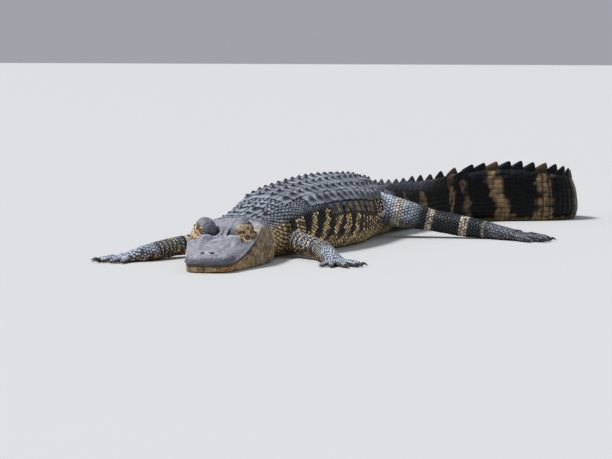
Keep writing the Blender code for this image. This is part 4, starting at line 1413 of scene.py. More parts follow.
def beadPattern():
    wall = ovalRing(7, 0.50, 0.50, -1.0)
    rim = ovalRing(7, 0.47, 0.47, 0.10)
    top = ovalRing(7, 0.30, 0.32, lambda x, y: 0.72 + 0.25 * y, 0.03)
    # painted shade at the foot and rim, painted highlight on the top
    return closedPattern("pattern_bead", (0.0, 0.06, 1.0), [wall, rim, top], [0.0, 0.16, 0.80], 0.95)


def grainPattern():
    wall = ovalRing(7, 0.50, 0.50, -1.0)
    rim = ovalRing(7, 0.46, 0.46, 0.15)
    top = ovalRing(7, 0.28, 0.30, lambda x, y: 0.78 + 0.15 * y, 0.02)
    # painted shade at the foot and rim, painted highlight on the top
    return closedPattern("pattern_grain", (0.0, 0.02, 1.0), [wall, rim, top], [0.25, 0.45, 0.72], 0.80)


def shinglePattern():
    wall = ovalRing(8, 0.52, 0.54, -1.0)
    rim = ovalRing(8, 0.48, 0.50, lambda x, y: 0.10 + 0.55 * max(0.0, y))
    top = ovalRing(8, 0.30, 0.32, lambda x, y: 0.45 + 0.75 * (y + 0.2), 0.08)
    # painted shade at the foot and rim, painted highlight on the top
    return closedPattern("pattern_shingle", (0.0, 0.16, 0.95), [wall, rim, top], [0.0, 0.16, 0.78], 0.92)


def bladePattern():
    # a crest blade: a thick pointed lobe with a long front slope and a steep rear edge
    levels = (
        (-0.55, -0.56, 0.56, 0.56), (0.02, -0.55, 0.55, 0.50), (0.28, -0.40, 0.55, 0.42),
        (0.52, -0.18, 0.53, 0.33), (0.76, 0.06, 0.50, 0.23), (0.92, 0.23, 0.46, 0.13),
    )
    turns = np.linspace(0, 2 * math.pi, 11)[:-1]
    rings = []
    for z, front, rear, thick in levels:
        middle, half = (front + rear) / 2, (rear - front) / 2
        rings.append([(thick * math.sin(a), middle - half * math.cos(a), z) for a in turns])
    # painted shade where the blade meets the tail, growing lighter upwards to a painted highlight at the tip
    paintedLightLevels = [0.0, 0.30, 0.45, 0.58, 0.66, 0.72]
    return closedPattern("pattern_blade", (0.0, 0.37, 1.0), rings, paintedLightLevels, 0.76)


# what each family may change of how its scales are set; bakePatch is a scale's size on the OFBake map
scatter = {"length": 1.0, "width": 1.0, "relief": 1.0, "tilt": 0.045, "sizeSpread": 0.10, "seed": 4}
bakePatch = 0.003


# the tree's named inputs, with the value in scatter that each takes
dressInputs = {
    "Length": ("length", "Float"), "Width": ("width", "Float"), "Relief": ("relief", "Float"),
    "Tilt": ("tilt", "Float"), "Size Spread": ("sizeSpread", "Float"), "Seed": ("seed", "Int"),
}


def scatterTree(name, pattern, finishMaterial):
    # sets a pattern scale on every marked point and lays out its patch of the OFBake map
    tree = bpy.data.node_groups.new(name, "GeometryNodeTree")
    face = tree.interface
    face.new_socket("Geometry", in_out="INPUT", socket_type="NodeSocketGeometry")
    for label, (_, kind) in dressInputs.items():
        face.new_socket(label, in_out="INPUT", socket_type="NodeSocket" + kind)
    face.new_socket("Geometry", in_out="OUTPUT", socket_type="NodeSocketGeometry")
    make, link = tree.nodes.new, tree.links.new
    inlet, outlet = make("NodeGroupInput"), make("NodeGroupOutput")

    def stored(label):
        node = make("GeometryNodeInputNamedAttribute")
        node.data_type = "FLOAT_VECTOR"
        node.inputs["Name"].default_value = label
        return node.outputs["Attribute"]

    def vectorMath(operation, first, second, socket=1):
        node = make("ShaderNodeVectorMath")
        node.operation = operation
        link(first, node.inputs[0])
        if isinstance(second, tuple):
            node.inputs[socket].default_value = second
        else:
            link(second, node.inputs[socket])
        return node.outputs["Vector"]

    def drift(offset):
        # a random vector for every scale, each part of it from -1 to 1
        node = make("FunctionNodeRandomValue")
        node.data_type = "FLOAT_VECTOR"
        node.inputs["Min"].default_value = (-1.0,) * 3
        node.inputs["Max"].default_value = (1.0,) * 3
        shift = make("ShaderNodeMath")
        link(inlet.outputs["Seed"], shift.inputs[0])
        shift.inputs[1].default_value = offset
        link(shift.outputs["Value"], node.inputs["Seed"])
        return node.outputs["Value"]

    source = make("GeometryNodeObjectInfo")
    source.inputs["Object"].default_value = pattern
    size = make("ShaderNodeCombineXYZ")
    link(inlet.outputs["Width"], size.inputs["X"])
    link(inlet.outputs["Length"], size.inputs["Y"])
    link(inlet.outputs["Relief"], size.inputs["Z"])
    spread = vectorMath("SCALE", drift(1), inlet.outputs["Size Spread"], "Scale")
    spread = vectorMath("ADD", spread, (1.0, 1.0, 1.0))
    size = vectorMath("MULTIPLY", vectorMath("MULTIPLY", stored("size"), size.outputs["Vector"]), spread)
    tilt = vectorMath("SCALE", drift(2), inlet.outputs["Tilt"], "Scale")
    turn = vectorMath("ADD", stored("turn"), tilt)
    rotation = make("FunctionNodeEulerToRotation")
    link(turn, rotation.inputs["Euler"])
    place = make("GeometryNodeInstanceOnPoints")
    link(inlet.outputs["Geometry"], place.inputs["Points"])
    link(source.outputs["Geometry"], place.inputs["Instance"])
    link(rotation.outputs["Rotation"], place.inputs["Rotation"])
    link(size, place.inputs["Scale"])
    real = make("GeometryNodeRealizeInstances")
    link(place.outputs["Instances"], real.inputs["Geometry"])
    atlas = make("GeometryNodeStoreNamedAttribute")
    atlas.data_type, atlas.domain = "FLOAT2", "CORNER"
    atlas.inputs["Name"].default_value = "OFBake"
    patch = vectorMath("MULTIPLY", stored("patch"), (bakePatch, bakePatch, 0.0))
    link(vectorMath("ADD", stored("root"), patch), atlas.inputs["Value"])
    link(real.outputs["Geometry"], atlas.inputs["Geometry"])
    dress = make("GeometryNodeSetMaterial")
    dress.inputs["Material"].default_value = finishMaterial
    link(atlas.outputs["Geometry"], dress.inputs["Geometry"])
    link(dress.outputs["Geometry"], outlet.inputs["Geometry"])
    return tree


hideWork = bmesh.new()
hideWork.from_mesh(hide.data)
hideSurface = BVHTree.FromBMesh(hideWork)
hideWork.free()

# where each part's strip starts across the unwrap, and how tall the strips are
partRow = {"body": 0.0, "head": 0.30, "jaw": 0.36, "foreLeft": 0.66, "foreRight": 0.72, "hindLeft": 0.78,
           "hindRight": 0.84, "foreLeftFoot": 0.90, "foreRightFoot": 0.92, "hindLeftFoot": 0.95,
           "hindRightFoot": 0.975}
unwrap = {"bodyTall": 0.28, "headTall": 0.24, "limbTall": 0.055, "margin": 0.01, "fill": 0.98}


def atlasPlace(part, along, points):
    # where each root lies on a flat unwrap of the hide: the body's length runs along U
    s, across = bodyTerms(points, np.where(part == "body", along, head["middleS"]))
    onHead = np.isin(part, ("head", "jaw"))
    onTrunk = onHead | (part == "body")
    high = np.arctan2(across, points[:, 2] - 0.045)
    u = np.where(onTrunk, s / body["length"], np.minimum(along, 2.0) / 2.0)
    base = np.array([partRow[p] for p in part])
    tall = np.where(onHead, unwrap["headTall"], unwrap["limbTall"])
    tall = np.where(part == "body", unwrap["bodyTall"], tall)
    turn = np.where(onTrunk, high / (2 * math.pi) + 0.5, softNoise(points, 0.01, 5))
    margin, fill = unwrap["margin"], unwrap["fill"]
    return np.column_stack([margin + fill * u, margin + base * fill + turn * tall, np.zeros(len(points))])


def dressScales(name, pattern, finishMaterial, places, dress, tone=None, fine=False):
    # places: rows of (point, back, (width, length, relief), reach) set on the hide's own surface
    kept = []
    for point, back, size, reach in places:
        found, normal, _, away = hideSurface.find_nearest(Vector(point))
        side = back.cross(normal)
        if away > reach or side.length < 1e-5:
            continue
        side.normalize()
        turn = Matrix((side, normal.cross(side), normal)).transposed().to_euler("XYZ")
        kept.append((tuple(found), tuple(turn), size, tuple(normal)))
    spots, turns, sizes, normals = (np.array(column, float) for column in zip(*kept))
    part, along = whereOnBody(spots)
    colours = paintPlaces(spots, part, along, normals)
    rng = np.random.default_rng(scatter["seed"])
    colours = colours * rng.uniform(0.80, 1.22, (len(spots), 1))
    if tone is not None:
        colours = tone(colours, spots)
    cloud = meshObject(name, spots, [])
    storeLayer(cloud.data, "facing", "FLOAT", normals[:, 2])
    dressCloud(cloud, pattern, finishMaterial, (spots, turns, sizes, colours), (part, along), dress)
    if fine:
        paintFinely(cloud.data, tone, dress["mottle"])
    dropLayers(cloud.data, "facing")
    return spots


def paintFinely(mesh, tone, mottle):
    # markings that run on across a scale, from every corner's own place
    points = readPoints(mesh)
    facing = readRows(mesh.attributes["facing"].data, "value", 1, np.float32)
    part, along = whereOnBody(points)
    colours = paintPlaces(points, part, along, np.column_stack([facing] * 3))
    if tone is not None:
        colours = tone(colours, points)
    jitter = 1 + mottle * (2 * softNoise(points, 0.007, 91)[:, None] - 1)
    storeLayer(mesh, "tint", "FLOAT_COLOR", colours * jitter)


def dressCloud(cloud, pattern, finishMaterial, rows, onto, dress):
    spots, turns, sizes, colours = (np.array(row, float) for row in rows)
    for label, vectors in (("turn", turns), ("size", sizes), ("root", atlasPlace(*onto, spots))):
        storeLayer(cloud.data, label, "FLOAT_VECTOR", vectors)
    storeLayer(cloud.data, "tint", "FLOAT_COLOR", colours)
    settings = dict(scatter, **dress)
    tree = scatterTree("dress_" + cloud.name, pattern, finishMaterial)
    modifier = cloud.modifiers.new("Scales", "NODES")
    modifier.node_group = tree
    for socket in tree.interface.items_tree:
        if socket.in_out == "INPUT" and socket.name in dressInputs:
            modifier[socket.identifier] = settings[dressInputs[socket.name][0]]
    applyModifiers(cloud)
    mesh = cloud.data
    dropLayers(mesh, "turn", "size", "root", "patch")
    points = readPoints(mesh)
    points[:, 2] = np.maximum(points[:, 2], 0.0)
    writePoints(mesh, points)
    mesh.shade_smooth()
    mesh.set_sharp_from_angle(angle=math.radians(50))
    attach(cloud, "root")
    print(cloud.name, len(spots), "scales,", len(mesh.polygons), "faces")


keeled, flat, bead = keeledPattern(), flatPattern(), beadPattern()
grain, shingle, blade = grainPattern(), shinglePattern(), bladePattern()

shield = {
    "rows": 17,
    "start": 0.377,
    "pitch": 0.0287,
    "columns": ((0.37, 2.0), (0.42, 2.6), (0.47, 3.4), (0.54, 4.0), (0.68, 4.0), (0.75, 3.0), (0.83, 2.0)),
    "columnPitch": ((0.37, 0.0230), (0.50, 0.0265), (0.68, 0.0265), (0.80, 0.0230), (0.87, 0.0220)),
    "keel": 0.0105,
    "outerKeel": 0.80,
    "outerSize": (0.74, 0.80),
    "size": (1.0, 1.02),
    "reach": 0.01,
    "dress": {"tilt": 0.02, "sizeSpread": 0.02, "mottle": 0.4},
}
# s, across, length, width, keel of the neck's paired plates
neckPlates = (
    (0.277, 0.0120, 0.0260, 0.0210, 0.0090), (0.304, 0.0130, 0.0270, 0.0225, 0.0095),
    (0.301, 0.0345, 0.0190, 0.0165, 0.0066), (0.276, 0.0325, 0.0170, 0.0145, 0.0055),
    (0.334, 0.0120, 0.0190, 0.0185, 0.0065), (0.256, 0.0140, 0.0120, 0.0140, 0.0040),
    (0.330, 0.0340, 0.0130, 0.0120, 0.0045), (0.352, 0.0100, 0.0130, 0.0150, 0.0040),
    (0.353, 0.0300, 0.0130, 0.0130, 0.0040),
)


def shieldPlaces():
    places = []
    for row in range(shield["rows"]):
        s = shield["start"] + row * shield["pitch"]
        if s + shield["pitch"] / 2 > body["ventS"] + 0.004:
            break
        pitch = float(follow(shield["columnPitch"], s))
        columns = int(round(float(follow(shield["columns"], s))))
        for column in range(columns):
            for side in (1, -1):
                point, _ = backPlace(s, side * (column + 0.5) * pitch)
                keel = shield["keel"] * (1.0 - (1 - shield["outerKeel"]) * column / 3)
                wide, long = shield["outerSize"] if column >= 3 else shield["size"]
                size = (pitch * wide, shield["pitch"] * long, keel)
                places.append((point, backwards(s), size, shield["reach"]))
    for s, across, length, width, keel in neckPlates:
        for side in (1, -1):
            point, _ = backPlace(s, side * across)
            places.append((point, backwards(s), (width, length, keel), shield["reach"]))
    return places


def skyWorn(colours, spots):
    # scutes along the back are made lighter and darker in broad random patches
    patchiness = layeredNoise(spots, 0.05, 71, 2)[:, None]
    return colours * (0.74 + 0.72 * patchiness)


backRoots = dressScales("back_scutes", keeled, scuteFinish, shieldPlaces(), shield["dress"], tone=skyWorn,
                        fine=True)

crest = {
    "pitch": ((0.87, 0.0290), (1.28, 0.0270), (1.50, 0.0240), (1.78, 0.0150)),
    "doubleHeight": ((0.87, 0.0120), (1.00, 0.0160), (1.16, 0.0170), (1.285, 0.0190)),
    "singleHeight": ((1.285, 0.0150), (1.36, 0.0145), (1.55, 0.0140), (1.70, 0.0105), (1.78, 0.0060)),
    "spread": ((0.87, 0.66), (1.05, 0.80), (1.20, 0.72), (1.285, 0.30)),
    "thickness": 0.0105,
    "overlap": 1.08,
    "lean": 0.55,
    "start": 0.016,
    "tipGap": 0.03,
    "dress": {"tilt": 0.05, "sizeSpread": 0.07},
}


def whorlStations():
    # where each ring of scales round the tail lies along the spine
    stations, s = [], body["ventS"] + crest["start"]
    while s < body["length"] - crest["tipGap"]:
        stations.append(s)
        s += float(follow(crest["pitch"], s))
    return stations


def onPaired(s):
    # whether the tail has its double crest at s
    return s < body["crestMeetsS"] - 0.006


def crestOut(s):
    # how far each of the two crests is from the middle of the back
    return float(follow(bodySections, s)[0]) * float(follow(crest["spread"], s))


def crestPlaces():
    places = []
    for s in whorlStations():
        along = [side * crestOut(s) for side in (1, -1)] if onPaired(s) else [0.0]
        height = float(follow(crest["doubleHeight" if onPaired(s) else "singleHeight"], s))
        for reach in along:
            point, outward = backPlace(s, reach)
            size = (crest["thickness"], float(follow(crest["pitch"], s)) * crest["overlap"], height)
            places.append((point, backwards(s), outward, size))
    return places


def dressCrest():
    # blades stand more upright than the skin under them, so they are turned here one by one
    rows = crestPlaces()
    spots = np.array([tuple(r[0]) for r in rows])
    part, along = whereOnBody(spots)
    colours = paintPlaces(spots, part, along, np.tile((0.0, 0.0, 1.0), (len(spots), 1)))
    colours = colours * 0.45 + marks["tailBlack"] * 0.55
    colours = blend(colours, marks["slate"] * 0.9, 0.55 * (1 - ramp(along, 1.02, 1.20)))
    cloud = meshObject("tail_crest", spots, [])
    turns = []
    for _, back, outward, _ in rows:
        lean = Vector((0, 0, 1)).lerp(outward, crest["lean"]).normalized()
        side = back.cross(lean).normalized()
        turns.append(tuple(Matrix((side, lean.cross(side), lean)).transposed().to_euler("XYZ")))
    dressCloud(cloud, blade, tailFinish, (spots, turns, [r[3] for r in rows], colours), (part, along),
               crest["dress"])


dressCrest()

tailTop = {
    "plateWidth": 0.0165,
    "keel": 0.0032,
    "inset": 0.004,
    "least": 0.006,
    "firstLength": 0.0190,
    "reach": 0.008,
    "dress": {"tilt": 0.02, "sizeSpread": 0.03, "mottle": 0.4},
}


def tailTopPlaces():
    # cross rows of low keeled plates between the two crests, from the hips to where the crests meet
    places, stations = [], whorlStations()
    first = body["ventS"] + crest["start"] - float(follow(crest["pitch"], 0.88)) / 2
    first = first - tailTop["firstLength"] / 2 + 0.002
    for s in [first] + stations:
        inner = crestOut(s) - tailTop["inset"]
        if inner < tailTop["least"] or not onPaired(s):
            break
        count = max(1, int(round(inner / tailTop["plateWidth"])))
        length = tailTop["firstLength"] if s == first else float(follow(crest["pitch"], s)) * 1.02
        for k in range(count):
            for side in (1, -1):
                point, _ = backPlace(s, side * (k + 0.5) * inner / count)
                size = (inner / count * 0.99, length, tailTop["keel"])
                places.append((point, backwards(s), size, tailTop["reach"]))
    return places


def topTone(colours, spots):
    # grey near the hips, black further back
    _, along = whereOnBody(spots)
    return blend(colours, marks["slate"] * 0.9, 0.65 * (1 - ramp(along, 1.00, 1.22)))


topRoots = dressScales("tail_top_scutes", keeled, tailFinish, tailTopPlaces(), tailTop["dress"], tone=topTone,
                       fine=True)


tailSide = {
    "scale": 0.0100,
    "relief": 0.0007,
    "size": (0.96, 0.485),
    "crestGap": 0.009,
    "ridgeGap": 0.010,
    "end": 1.775,
    "floorGap": 0.0015,
    "reach": 0.006,
    "dress": {"tilt": 0.015, "sizeSpread": 0.02, "mottle": 0.7},
}


def lowestAlong(s, floorGap):
    # arc length from the middle of the back down to where the side nears the floor
    ring, arc = skinRing(s)
    half = len(arc) // 2
    return float(arc[np.flatnonzero(ring[:half, 1] > floorGap)[0]])


def tailSidePlaces():
    places = []
    for s in whorlStations():
        if s > tailSide["end"]:
            break
        pitch = float(follow(crest["pitch"], s))
        edge = crestOut(s) + tailSide["crestGap"] if onPaired(s) else tailSide["ridgeGap"]
        low = lowestAlong(s, tailSide["floorGap"])
        count = max(2, int(round((low - edge) / tailSide["scale"])))
        tall = (low - edge) / count
        wide, long = tailSide["size"]
        for k in range(count):
            for side in (1, -1):
                for shift in (-0.25, 0.25):
                    point, _ = backPlace(s + shift * pitch, side * (edge + (k + 0.5) * tall))
                    size = (tall * wide, pitch * long, tailSide["relief"])
                    places.append((point, backwards(s), size, tailSide["reach"]))
    return places


tailRoots = dressScales("tail_scales", flat, tailFinish, tailSidePlaces(), tailSide["dress"], fine=True)

flank = {
    "pitch": 0.0060,
    "relief": 0.0017,
    "neckPitch": 0.0074,
    "neckRelief": 0.0018,
    "from": 0.248,
    "neckTo": 0.366,
    "to": 0.905,
    "floorGap": 0.0035,
    "plateCover": 0.55,
    "yellow": 0.85,
    "yellowFrom": 0.345,
    "reach": 0.007,
    "dress": {"tilt": 0.08, "sizeSpread": 0.16},
}


def shieldEdge(s):
    columns = int(round(float(follow(shield["columns"], s))))
    return columns * float(follow(shield["columnPitch"], s)) + 0.003


def underPlate(s, along):
    cover = flank["plateCover"]
    return any(abs(s - p[0]) < p[2] * cover and abs(along - p[1]) < p[3] * cover for p in neckPlates)


def flankPlaces():
    # rows of beads from the shield's edge down to the belly, and over the whole neck
    places = []
    row, s = 0, flank["from"]
    while s < flank["to"]:
        onNeck = s < flank["neckTo"]
        pitch, bump = (flank["neckPitch"], flank["neckRelief"]) if onNeck else (flank["pitch"], flank["relief"])
        low = lowestAlong(s, flank["floorGap"])
        along = (0.0 if onNeck else shieldEdge(s)) + pitch * (0.5 if row % 2 else 0.0)
        while along < low:
            for side in ((1, -1) if along > 0.001 else (1,)):
                if not (onNeck and underPlate(s, along)):
                    point, _ = backPlace(s, side * along)
                    places.append((point, backwards(s), (pitch * 0.95, pitch * 1.02, bump), flank["reach"]))
            along += pitch
        s += pitch * 0.95
        row += 1
    return places


def flankTone(colours, spots):
    # each scale is either yellow to cream or near black, the light ones thick along the leaning bands
    count = len(spots)
    s, _ = trunkTerms(spots, *whereOnBody(spots))
    high = spots[:, 2] / follow(bodySections, s)[..., 1]
    rng = np.random.default_rng(29)
    chance, shade = rng.uniform(0, 1, count), rng.uniform(0.55, 1.35, (count, 1))
    hue = blend(np.tile(marks["spot"], (count, 1)), marks["cream"], rng.uniform(-0.6, 0.9, count).clip(0))
    yellow = chance < flank["yellow"] * flankSpots(spots, s, spots[:, 2], high)
    return np.where((yellow & (s > flank["yellowFrom"]))[:, None], hue * shade, colours)


flankRoots = dressScales("flank_scales", bead, scaleFinish, flankPlaces(), flank["dress"], tone=flankTone)

belly = {
    "pitch": ((0.24, 0.0262), (1.0, 0.0262), (1.8, 0.015)),
    "width": 0.0175,
    "relief": 0.0009,
    "from": 0.262,
    "to": 1.74,
    "flatBelow": 0.004,
    "reach": 0.005,
    "dress": {"tilt": 0.0, "sizeSpread": 0.02, "mottle": 0.8},
}


def bellyPlaces():
    # rows of flat plates across the part of the underside that lies on the floor
    places, s = [], belly["from"]
    while s < belly["to"]:
        across, up = bodySection(np.full(81, s), np.linspace(-math.pi / 2, math.pi / 2, 81))
        low = up < belly["flatBelow"]
        half = float(np.max(np.abs(across[low]))) if np.any(low) else float(follow(bodySections, s)[0]) * 0.6
        count = max(2, int(round(2 * half / belly["width"])))
        pitch = float(follow(belly["pitch"], s))
        for k in range(count):
            point = Vector(onBody(s, ((k + 0.5) / count * 2 - 1) * half, 0.0006))
            size = (2 * half / count * 0.95, pitch * 0.96, belly["relief"])
            places.append((point, backwards(s), size, belly["reach"]))
        s += pitch
    return places


bellyRoots = dressScales("belly_plates", flat, scaleFinish, bellyPlaces(), belly["dress"], fine=True)

leg = {
    "pitch": 0.0064,
    "thinPitch": 0.85,
    "thinRadius": 0.016,
    "rowStep": 0.90,
    "relief": 0.0013,
    "lowest": 0.0025,
    "reach": 0.008,
    "dress": {"tilt": 0.06, "sizeSpread": 0.10, "mottle": 0.55},
}


def runPlace(points, steps, reach):
    return Vector([float(np.interp(reach, steps, points[:, i])) for i in range(3)])


def limbPlaces():
    # rings of shingles round each limb from where it leaves the body
    places = []
    for centres, radii, root in limbRuns.values():
        points = np.array([tuple(c) for c in centres])
        steps = lengthAlong(points)
        reach = float(np.interp(np.linalg.norm(np.array(root) - points[0]), steps, steps)) + 0.004
        row = 0
        while reach < steps[-1]:
            centre = runPlace(points, steps, reach)
            ahead = runPlace(points, steps, reach + 0.004) - runPlace(points, steps, reach - 0.004)
            ahead.normalize()
            radius = float(np.interp(reach, steps, radii))
            pitch = leg["pitch"] * (leg["thinPitch"] if radius < leg["thinRadius"] else 1.0)
            count = max(8, int(round(2 * math.pi * radius / pitch)))
            side = ahead.cross(Vector((0, 0, 1))).normalized()
            up = side.cross(ahead)
            size = (2 * math.pi * radius / count * 1.02, pitch * 1.12, leg["relief"])
            for k in range(count):
                angle = 2 * math.pi * (k + 0.5 * (row % 2)) / count
                point = centre + (side * math.cos(angle) + up * math.sin(angle)) * radius
                if point.z > leg["lowest"]:
                    places.append((point, ahead, size, leg["reach"]))
            reach += pitch * leg["rowStep"]
            row += 1
    return places


legRoots = dressScales("leg_scales", shingle, scaleFinish, limbPlaces(), leg["dress"], fine=True)

foot = {
    "pitch": 0.0056,
    "relief": 0.0009,
    "toePitch": 0.0048,
    "toeLeans": (-0.85, 0.0, 0.85),
    "toeReach": 0.004,
    "reach": 0.013,
    "dress": {"tilt": 0.05, "sizeSpread": 0.10},
}


def toePlaces():
    places = []
    for centres, radii, _, ahead in digitRuns:
        points = np.array([tuple(c) for c in centres])
        steps = lengthAlong(points)
        side = ahead.cross(Vector((0, 0, 1))).normalized()
        reach = 0.004
        while reach < steps[-1] - 0.003:
            centre, radius = runPlace(points, steps, reach), float(np.interp(reach, steps, radii))
            size = (radius * 1.05, foot["toePitch"] * 1.05, foot["relief"])
            for lean in foot["toeLeans"]:
                point = centre + (side * math.sin(lean) + Vector((0, 0, 1)) * math.cos(lean)) * radius
                places.append((point, ahead, size, foot["toeReach"]))
            reach += foot["toePitch"]
    return places


def palmPlaces():
    # rows across the top of each palm and sole
    places = []
    size = (foot["pitch"] * 1.05, foot["pitch"] * 1.2, foot["relief"])
    for name in limbJoints:
        kind, heading, wrist = name[:4], footHeading(name), Vector(limbJoints[name][1])
        length = limbs[kind + "Foot"][0]
        left = Vector((-heading.y, heading.x, 0.0))
        row, reach = 0, 0.0
        while reach < length:
            wide = footWidth(kind, reach / length)
            count = int(2 * wide / foot["pitch"])
            for k in range(count + 1):
                across = (k + 0.5 * (row % 2)) / count * 2 - 1
                if abs(across) < 0.98:
                    arch = math.sqrt(1 - across**2) * (1 - 0.35 * reach / length)
                    point = wrist + heading * reach + left * wide * across
                    point.z = 0.008 + (wrist.z + 0.006) * arch
                    places.append((point, heading, size, foot["reach"]))
            reach += foot["pitch"] * 0.95
            row += 1
    return places


footRoots = dressScales("foot_scales", shingle, scaleFinish, toePlaces() + palmPlaces(), foot["dress"])


def spacedSpots(points, chosen, gap, seed):
    # places on the hide at least a gap apart, picked in a seeded random order
    cells, kept = {}, []
    around = [(a, b, c) for a in (-1, 0, 1) for b in (-1, 0, 1) for c in (-1, 0, 1)]
    for i in np.random.default_rng(seed).permutation(np.flatnonzero(chosen)).tolist():
        spot = points[i]
        x, y, z = (int(math.floor(value / gap)) for value in spot)
        near = [n for a, b, c in around for n in cells.get((x + a, y + b, z + c), ())]
        if all(sum((points[n] - spot) ** 2) > gap**2 for n in near):
            cells.setdefault((x, y, z), []).append(i)
            kept.append(i)
    return kept


def hidePlaces(chosen, family, seed, limbward=False):
    # scales of one family on the hide's own points, pointing backwards or, on a limb, outwards along it
    pitch, (wide, long) = family["pitch"], family["size"]
    s, _ = (trunkTerms(hideSpots, hideParts, hideAlong) if limbward else headTerms(hideSpots))
    places = []
    for i in spacedSpots(hideSpots, chosen, pitch, seed):
        limb = limbRuns.get(str(hideParts[i]).replace("Foot", ""))
        back = (Vector(limb[0][-1]) - Vector(limb[0][0])).normalized() if limb else backwards(float(s[i]))
        places.append((hideSpots[i], back, (pitch * wide, pitch * long, family["relief"]), family["reach"]))
    return places


small = {
    "pitch": 0.0048,
    "relief": 0.0010,
    "size": (1.05, 1.15),
    "from": 0.245,
    "to": 0.95,
    "lowest": 0.004,
    "reach": 0.002,
    "clear": {"back": 0.0185, "top": 0.0165, "tail": 0.0090, "belly": 0.0140, "flank": 0.0052, "leg": 0.0056,
              "foot": 0.0050},
    "dress": {"tilt": 0.06, "sizeSpread": 0.16, "mottle": 0.5},
}


def bareHide(dressed):
    # the hide of the wrists, shoulders, hips and feet that no scale stands near yet
    s, _ = trunkTerms(hideSpots, hideParts, hideAlong)
    onBodyRun = (hideParts == "body") & (s > small["from"]) & (s < small["to"])
    onLegs = ~np.isin(hideParts, ("body", "head", "jaw"))
    bare = (onBodyRun | onLegs) & (hideSpots[:, 2] > small["lowest"])
    for key, roots in dressed.items():
        tree = kdtree.KDTree(len(roots))
        for k, root in enumerate(roots):
            tree.insert(root, k)
        tree.balance()
        for i in np.flatnonzero(bare).tolist():
            bare[i] = tree.find(hideSpots[i])[2] > small["clear"][key]
    return bare


bare = bareHide({
    "back": backRoots, "top": topRoots, "tail": tailRoots, "belly": bellyRoots,
    "flank": flankRoots, "leg": legRoots, "foot": footRoots,
})
dressScales("small_scales", bead, scaleFinish, hidePlaces(bare, small, 9, True), small["dress"], fine=True)

jawScales = {
    "pitch": 0.0045,
    "relief": 0.0004,
    "size": (1.02, 1.15),
    "reach": 0.002,
    "dress": {"tilt": 0.04, "sizeSpread": 0.20, "mottle": 0.7},
}
lidScales = {
    "pitch": 0.0030,
    "relief": 0.0005,
    "size": (1.0, 1.1),
    "reach": 0.002,
    "dress": {"tilt": 0.05, "sizeSpread": 0.22, "mottle": 0.35},
}


def onJaw():
    s, _ = headTerms(hideSpots)
    gap = hideSpots[:, 2] - mouthHeight(s)
    return (hideParts == "jaw") & (gap < -0.0035) & (hideSpots[:, 2] > 0.0025) & (s < 0.242)


def onLids():
    # the mottled patch round each eye, clear of the eye's own opening
    s, across = headTerms(hideSpots)
    chosen = (lidReach(s, across, hideSpots[:, 2]) < 1.02) & (hideParts == "head")
    chosen &= hideSpots[:, 2] > mouthHeight(s) + 0.003
    for side in (1, -1):
        distance, _, away = slitDistance(hideSpots, side)
        chosen &= ~((away < 0.020) & (distance > -0.0050))
    return chosen


dressScales("jaw_scales", grain, scaleFinish, hidePlaces(onJaw(), jawScales, 5), jawScales["dress"],
            fine=True)
dressScales("lid_scales", grain, scaleFinish, hidePlaces(onLids(), lidScales, 7), lidScales["dress"],
            fine=True)

for pattern in (keeled, flat, bead, grain, shingle, blade):
    bpy.data.objects.remove(pattern)

# Eyes

eye = {
    "amber": paint(176, 138, 60),
    "rim": paint(60, 44, 22),
    "pupil": paint(8, 8, 8),
    "irisReach": 0.0062,
    "pupilHalf": 0.0010,
    "pupilTall": 0.0048,
    "cornea": 0.0006,
    "corneaReach": 0.007,
    "lookUp": 0.66,
    "segments": 56,
    "rings": 36,
    "roughness": 0.12,
    "coatRoughness": 0.03,
}


def eyeGloss():
    made = bpy.data.materials.new("eye_gloss")
    made.use_nodes = True
    tree = made.node_tree
    shader = tree.nodes["Principled BSDF"]
    tint = tree.nodes.new("ShaderNodeAttribute")
    tint.attribute_name = "tint"
    tree.links.new(tint.outputs["Color"], shader.inputs["Base Color"])
    shader.inputs["Roughness"].default_value = eye["roughness"]
    shader.inputs["Coat Weight"].default_value = 1.0
    shader.inputs["Coat Roughness"].default_value = eye["coatRoughness"]
    return made


def eyeTone(x, y, z):
    # rim, iris that darkens outwards, and an upright slit pupil
    share = math.hypot(x, y) / eye["irisReach"]
    if z <= 0 or share >= 1:
        return eye["rim"]
    slit = eye["pupilHalf"] * math.sqrt(max(0.0, 1 - (y / eye["pupilTall"]) ** 2))
    return eye["pupil"] if abs(x) < slit else eye["amber"] * (1.1 - 0.5 * share**3)


def buildEyes():
    eyeFinish = eyeGloss()
    for side, word in ((1, "left"), (-1, "right")):
        back = backwards(head["eyeFacesAt"])
        out, rise = Vector((back.y, -back.x, 0.0)) * side, Vector((0, 0, 1))
        look = (out * math.cos(eye["lookUp"]) + rise * math.sin(eye["lookUp"])).normalized()
        work = bmesh.new()
        bmesh.ops.create_uvsphere(work, u_segments=eye["segments"], v_segments=eye["rings"],
                                  radius=head["eyeRadius"])
        turn = Matrix((back, back.cross(look).normalized(), look)).transposed().to_4x4()
        colours = []
        for vert in work.verts:
            x, y, z = vert.co
            colours.append(eyeTone(x, y, z))
            if z > 0:
                vert.co.z += eye["cornea"] * max(0.0, 1 - (math.hypot(x, y) / eye["corneaReach"]) ** 2)
        bmesh.ops.transform(work, matrix=Matrix.Translation(Vector(eyeFrame(side))) @ turn, verts=work.verts)
        bmesh.ops.recalc_face_normals(work, faces=work.faces)
        mesh = bpy.data.meshes.new("eyeball_" + word)
        work.to_mesh(mesh)
        work.free()
        writeTint(mesh, np.array(colours), np.ones(len(colours)))
        ball = placed("eyeball_" + word, mesh)
        mesh.shade_smooth()
        mesh.materials.append(eyeFinish)
        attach(ball, "root")
        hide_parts("eye_" + word)


buildEyes()
print("eyes set")

# Claws

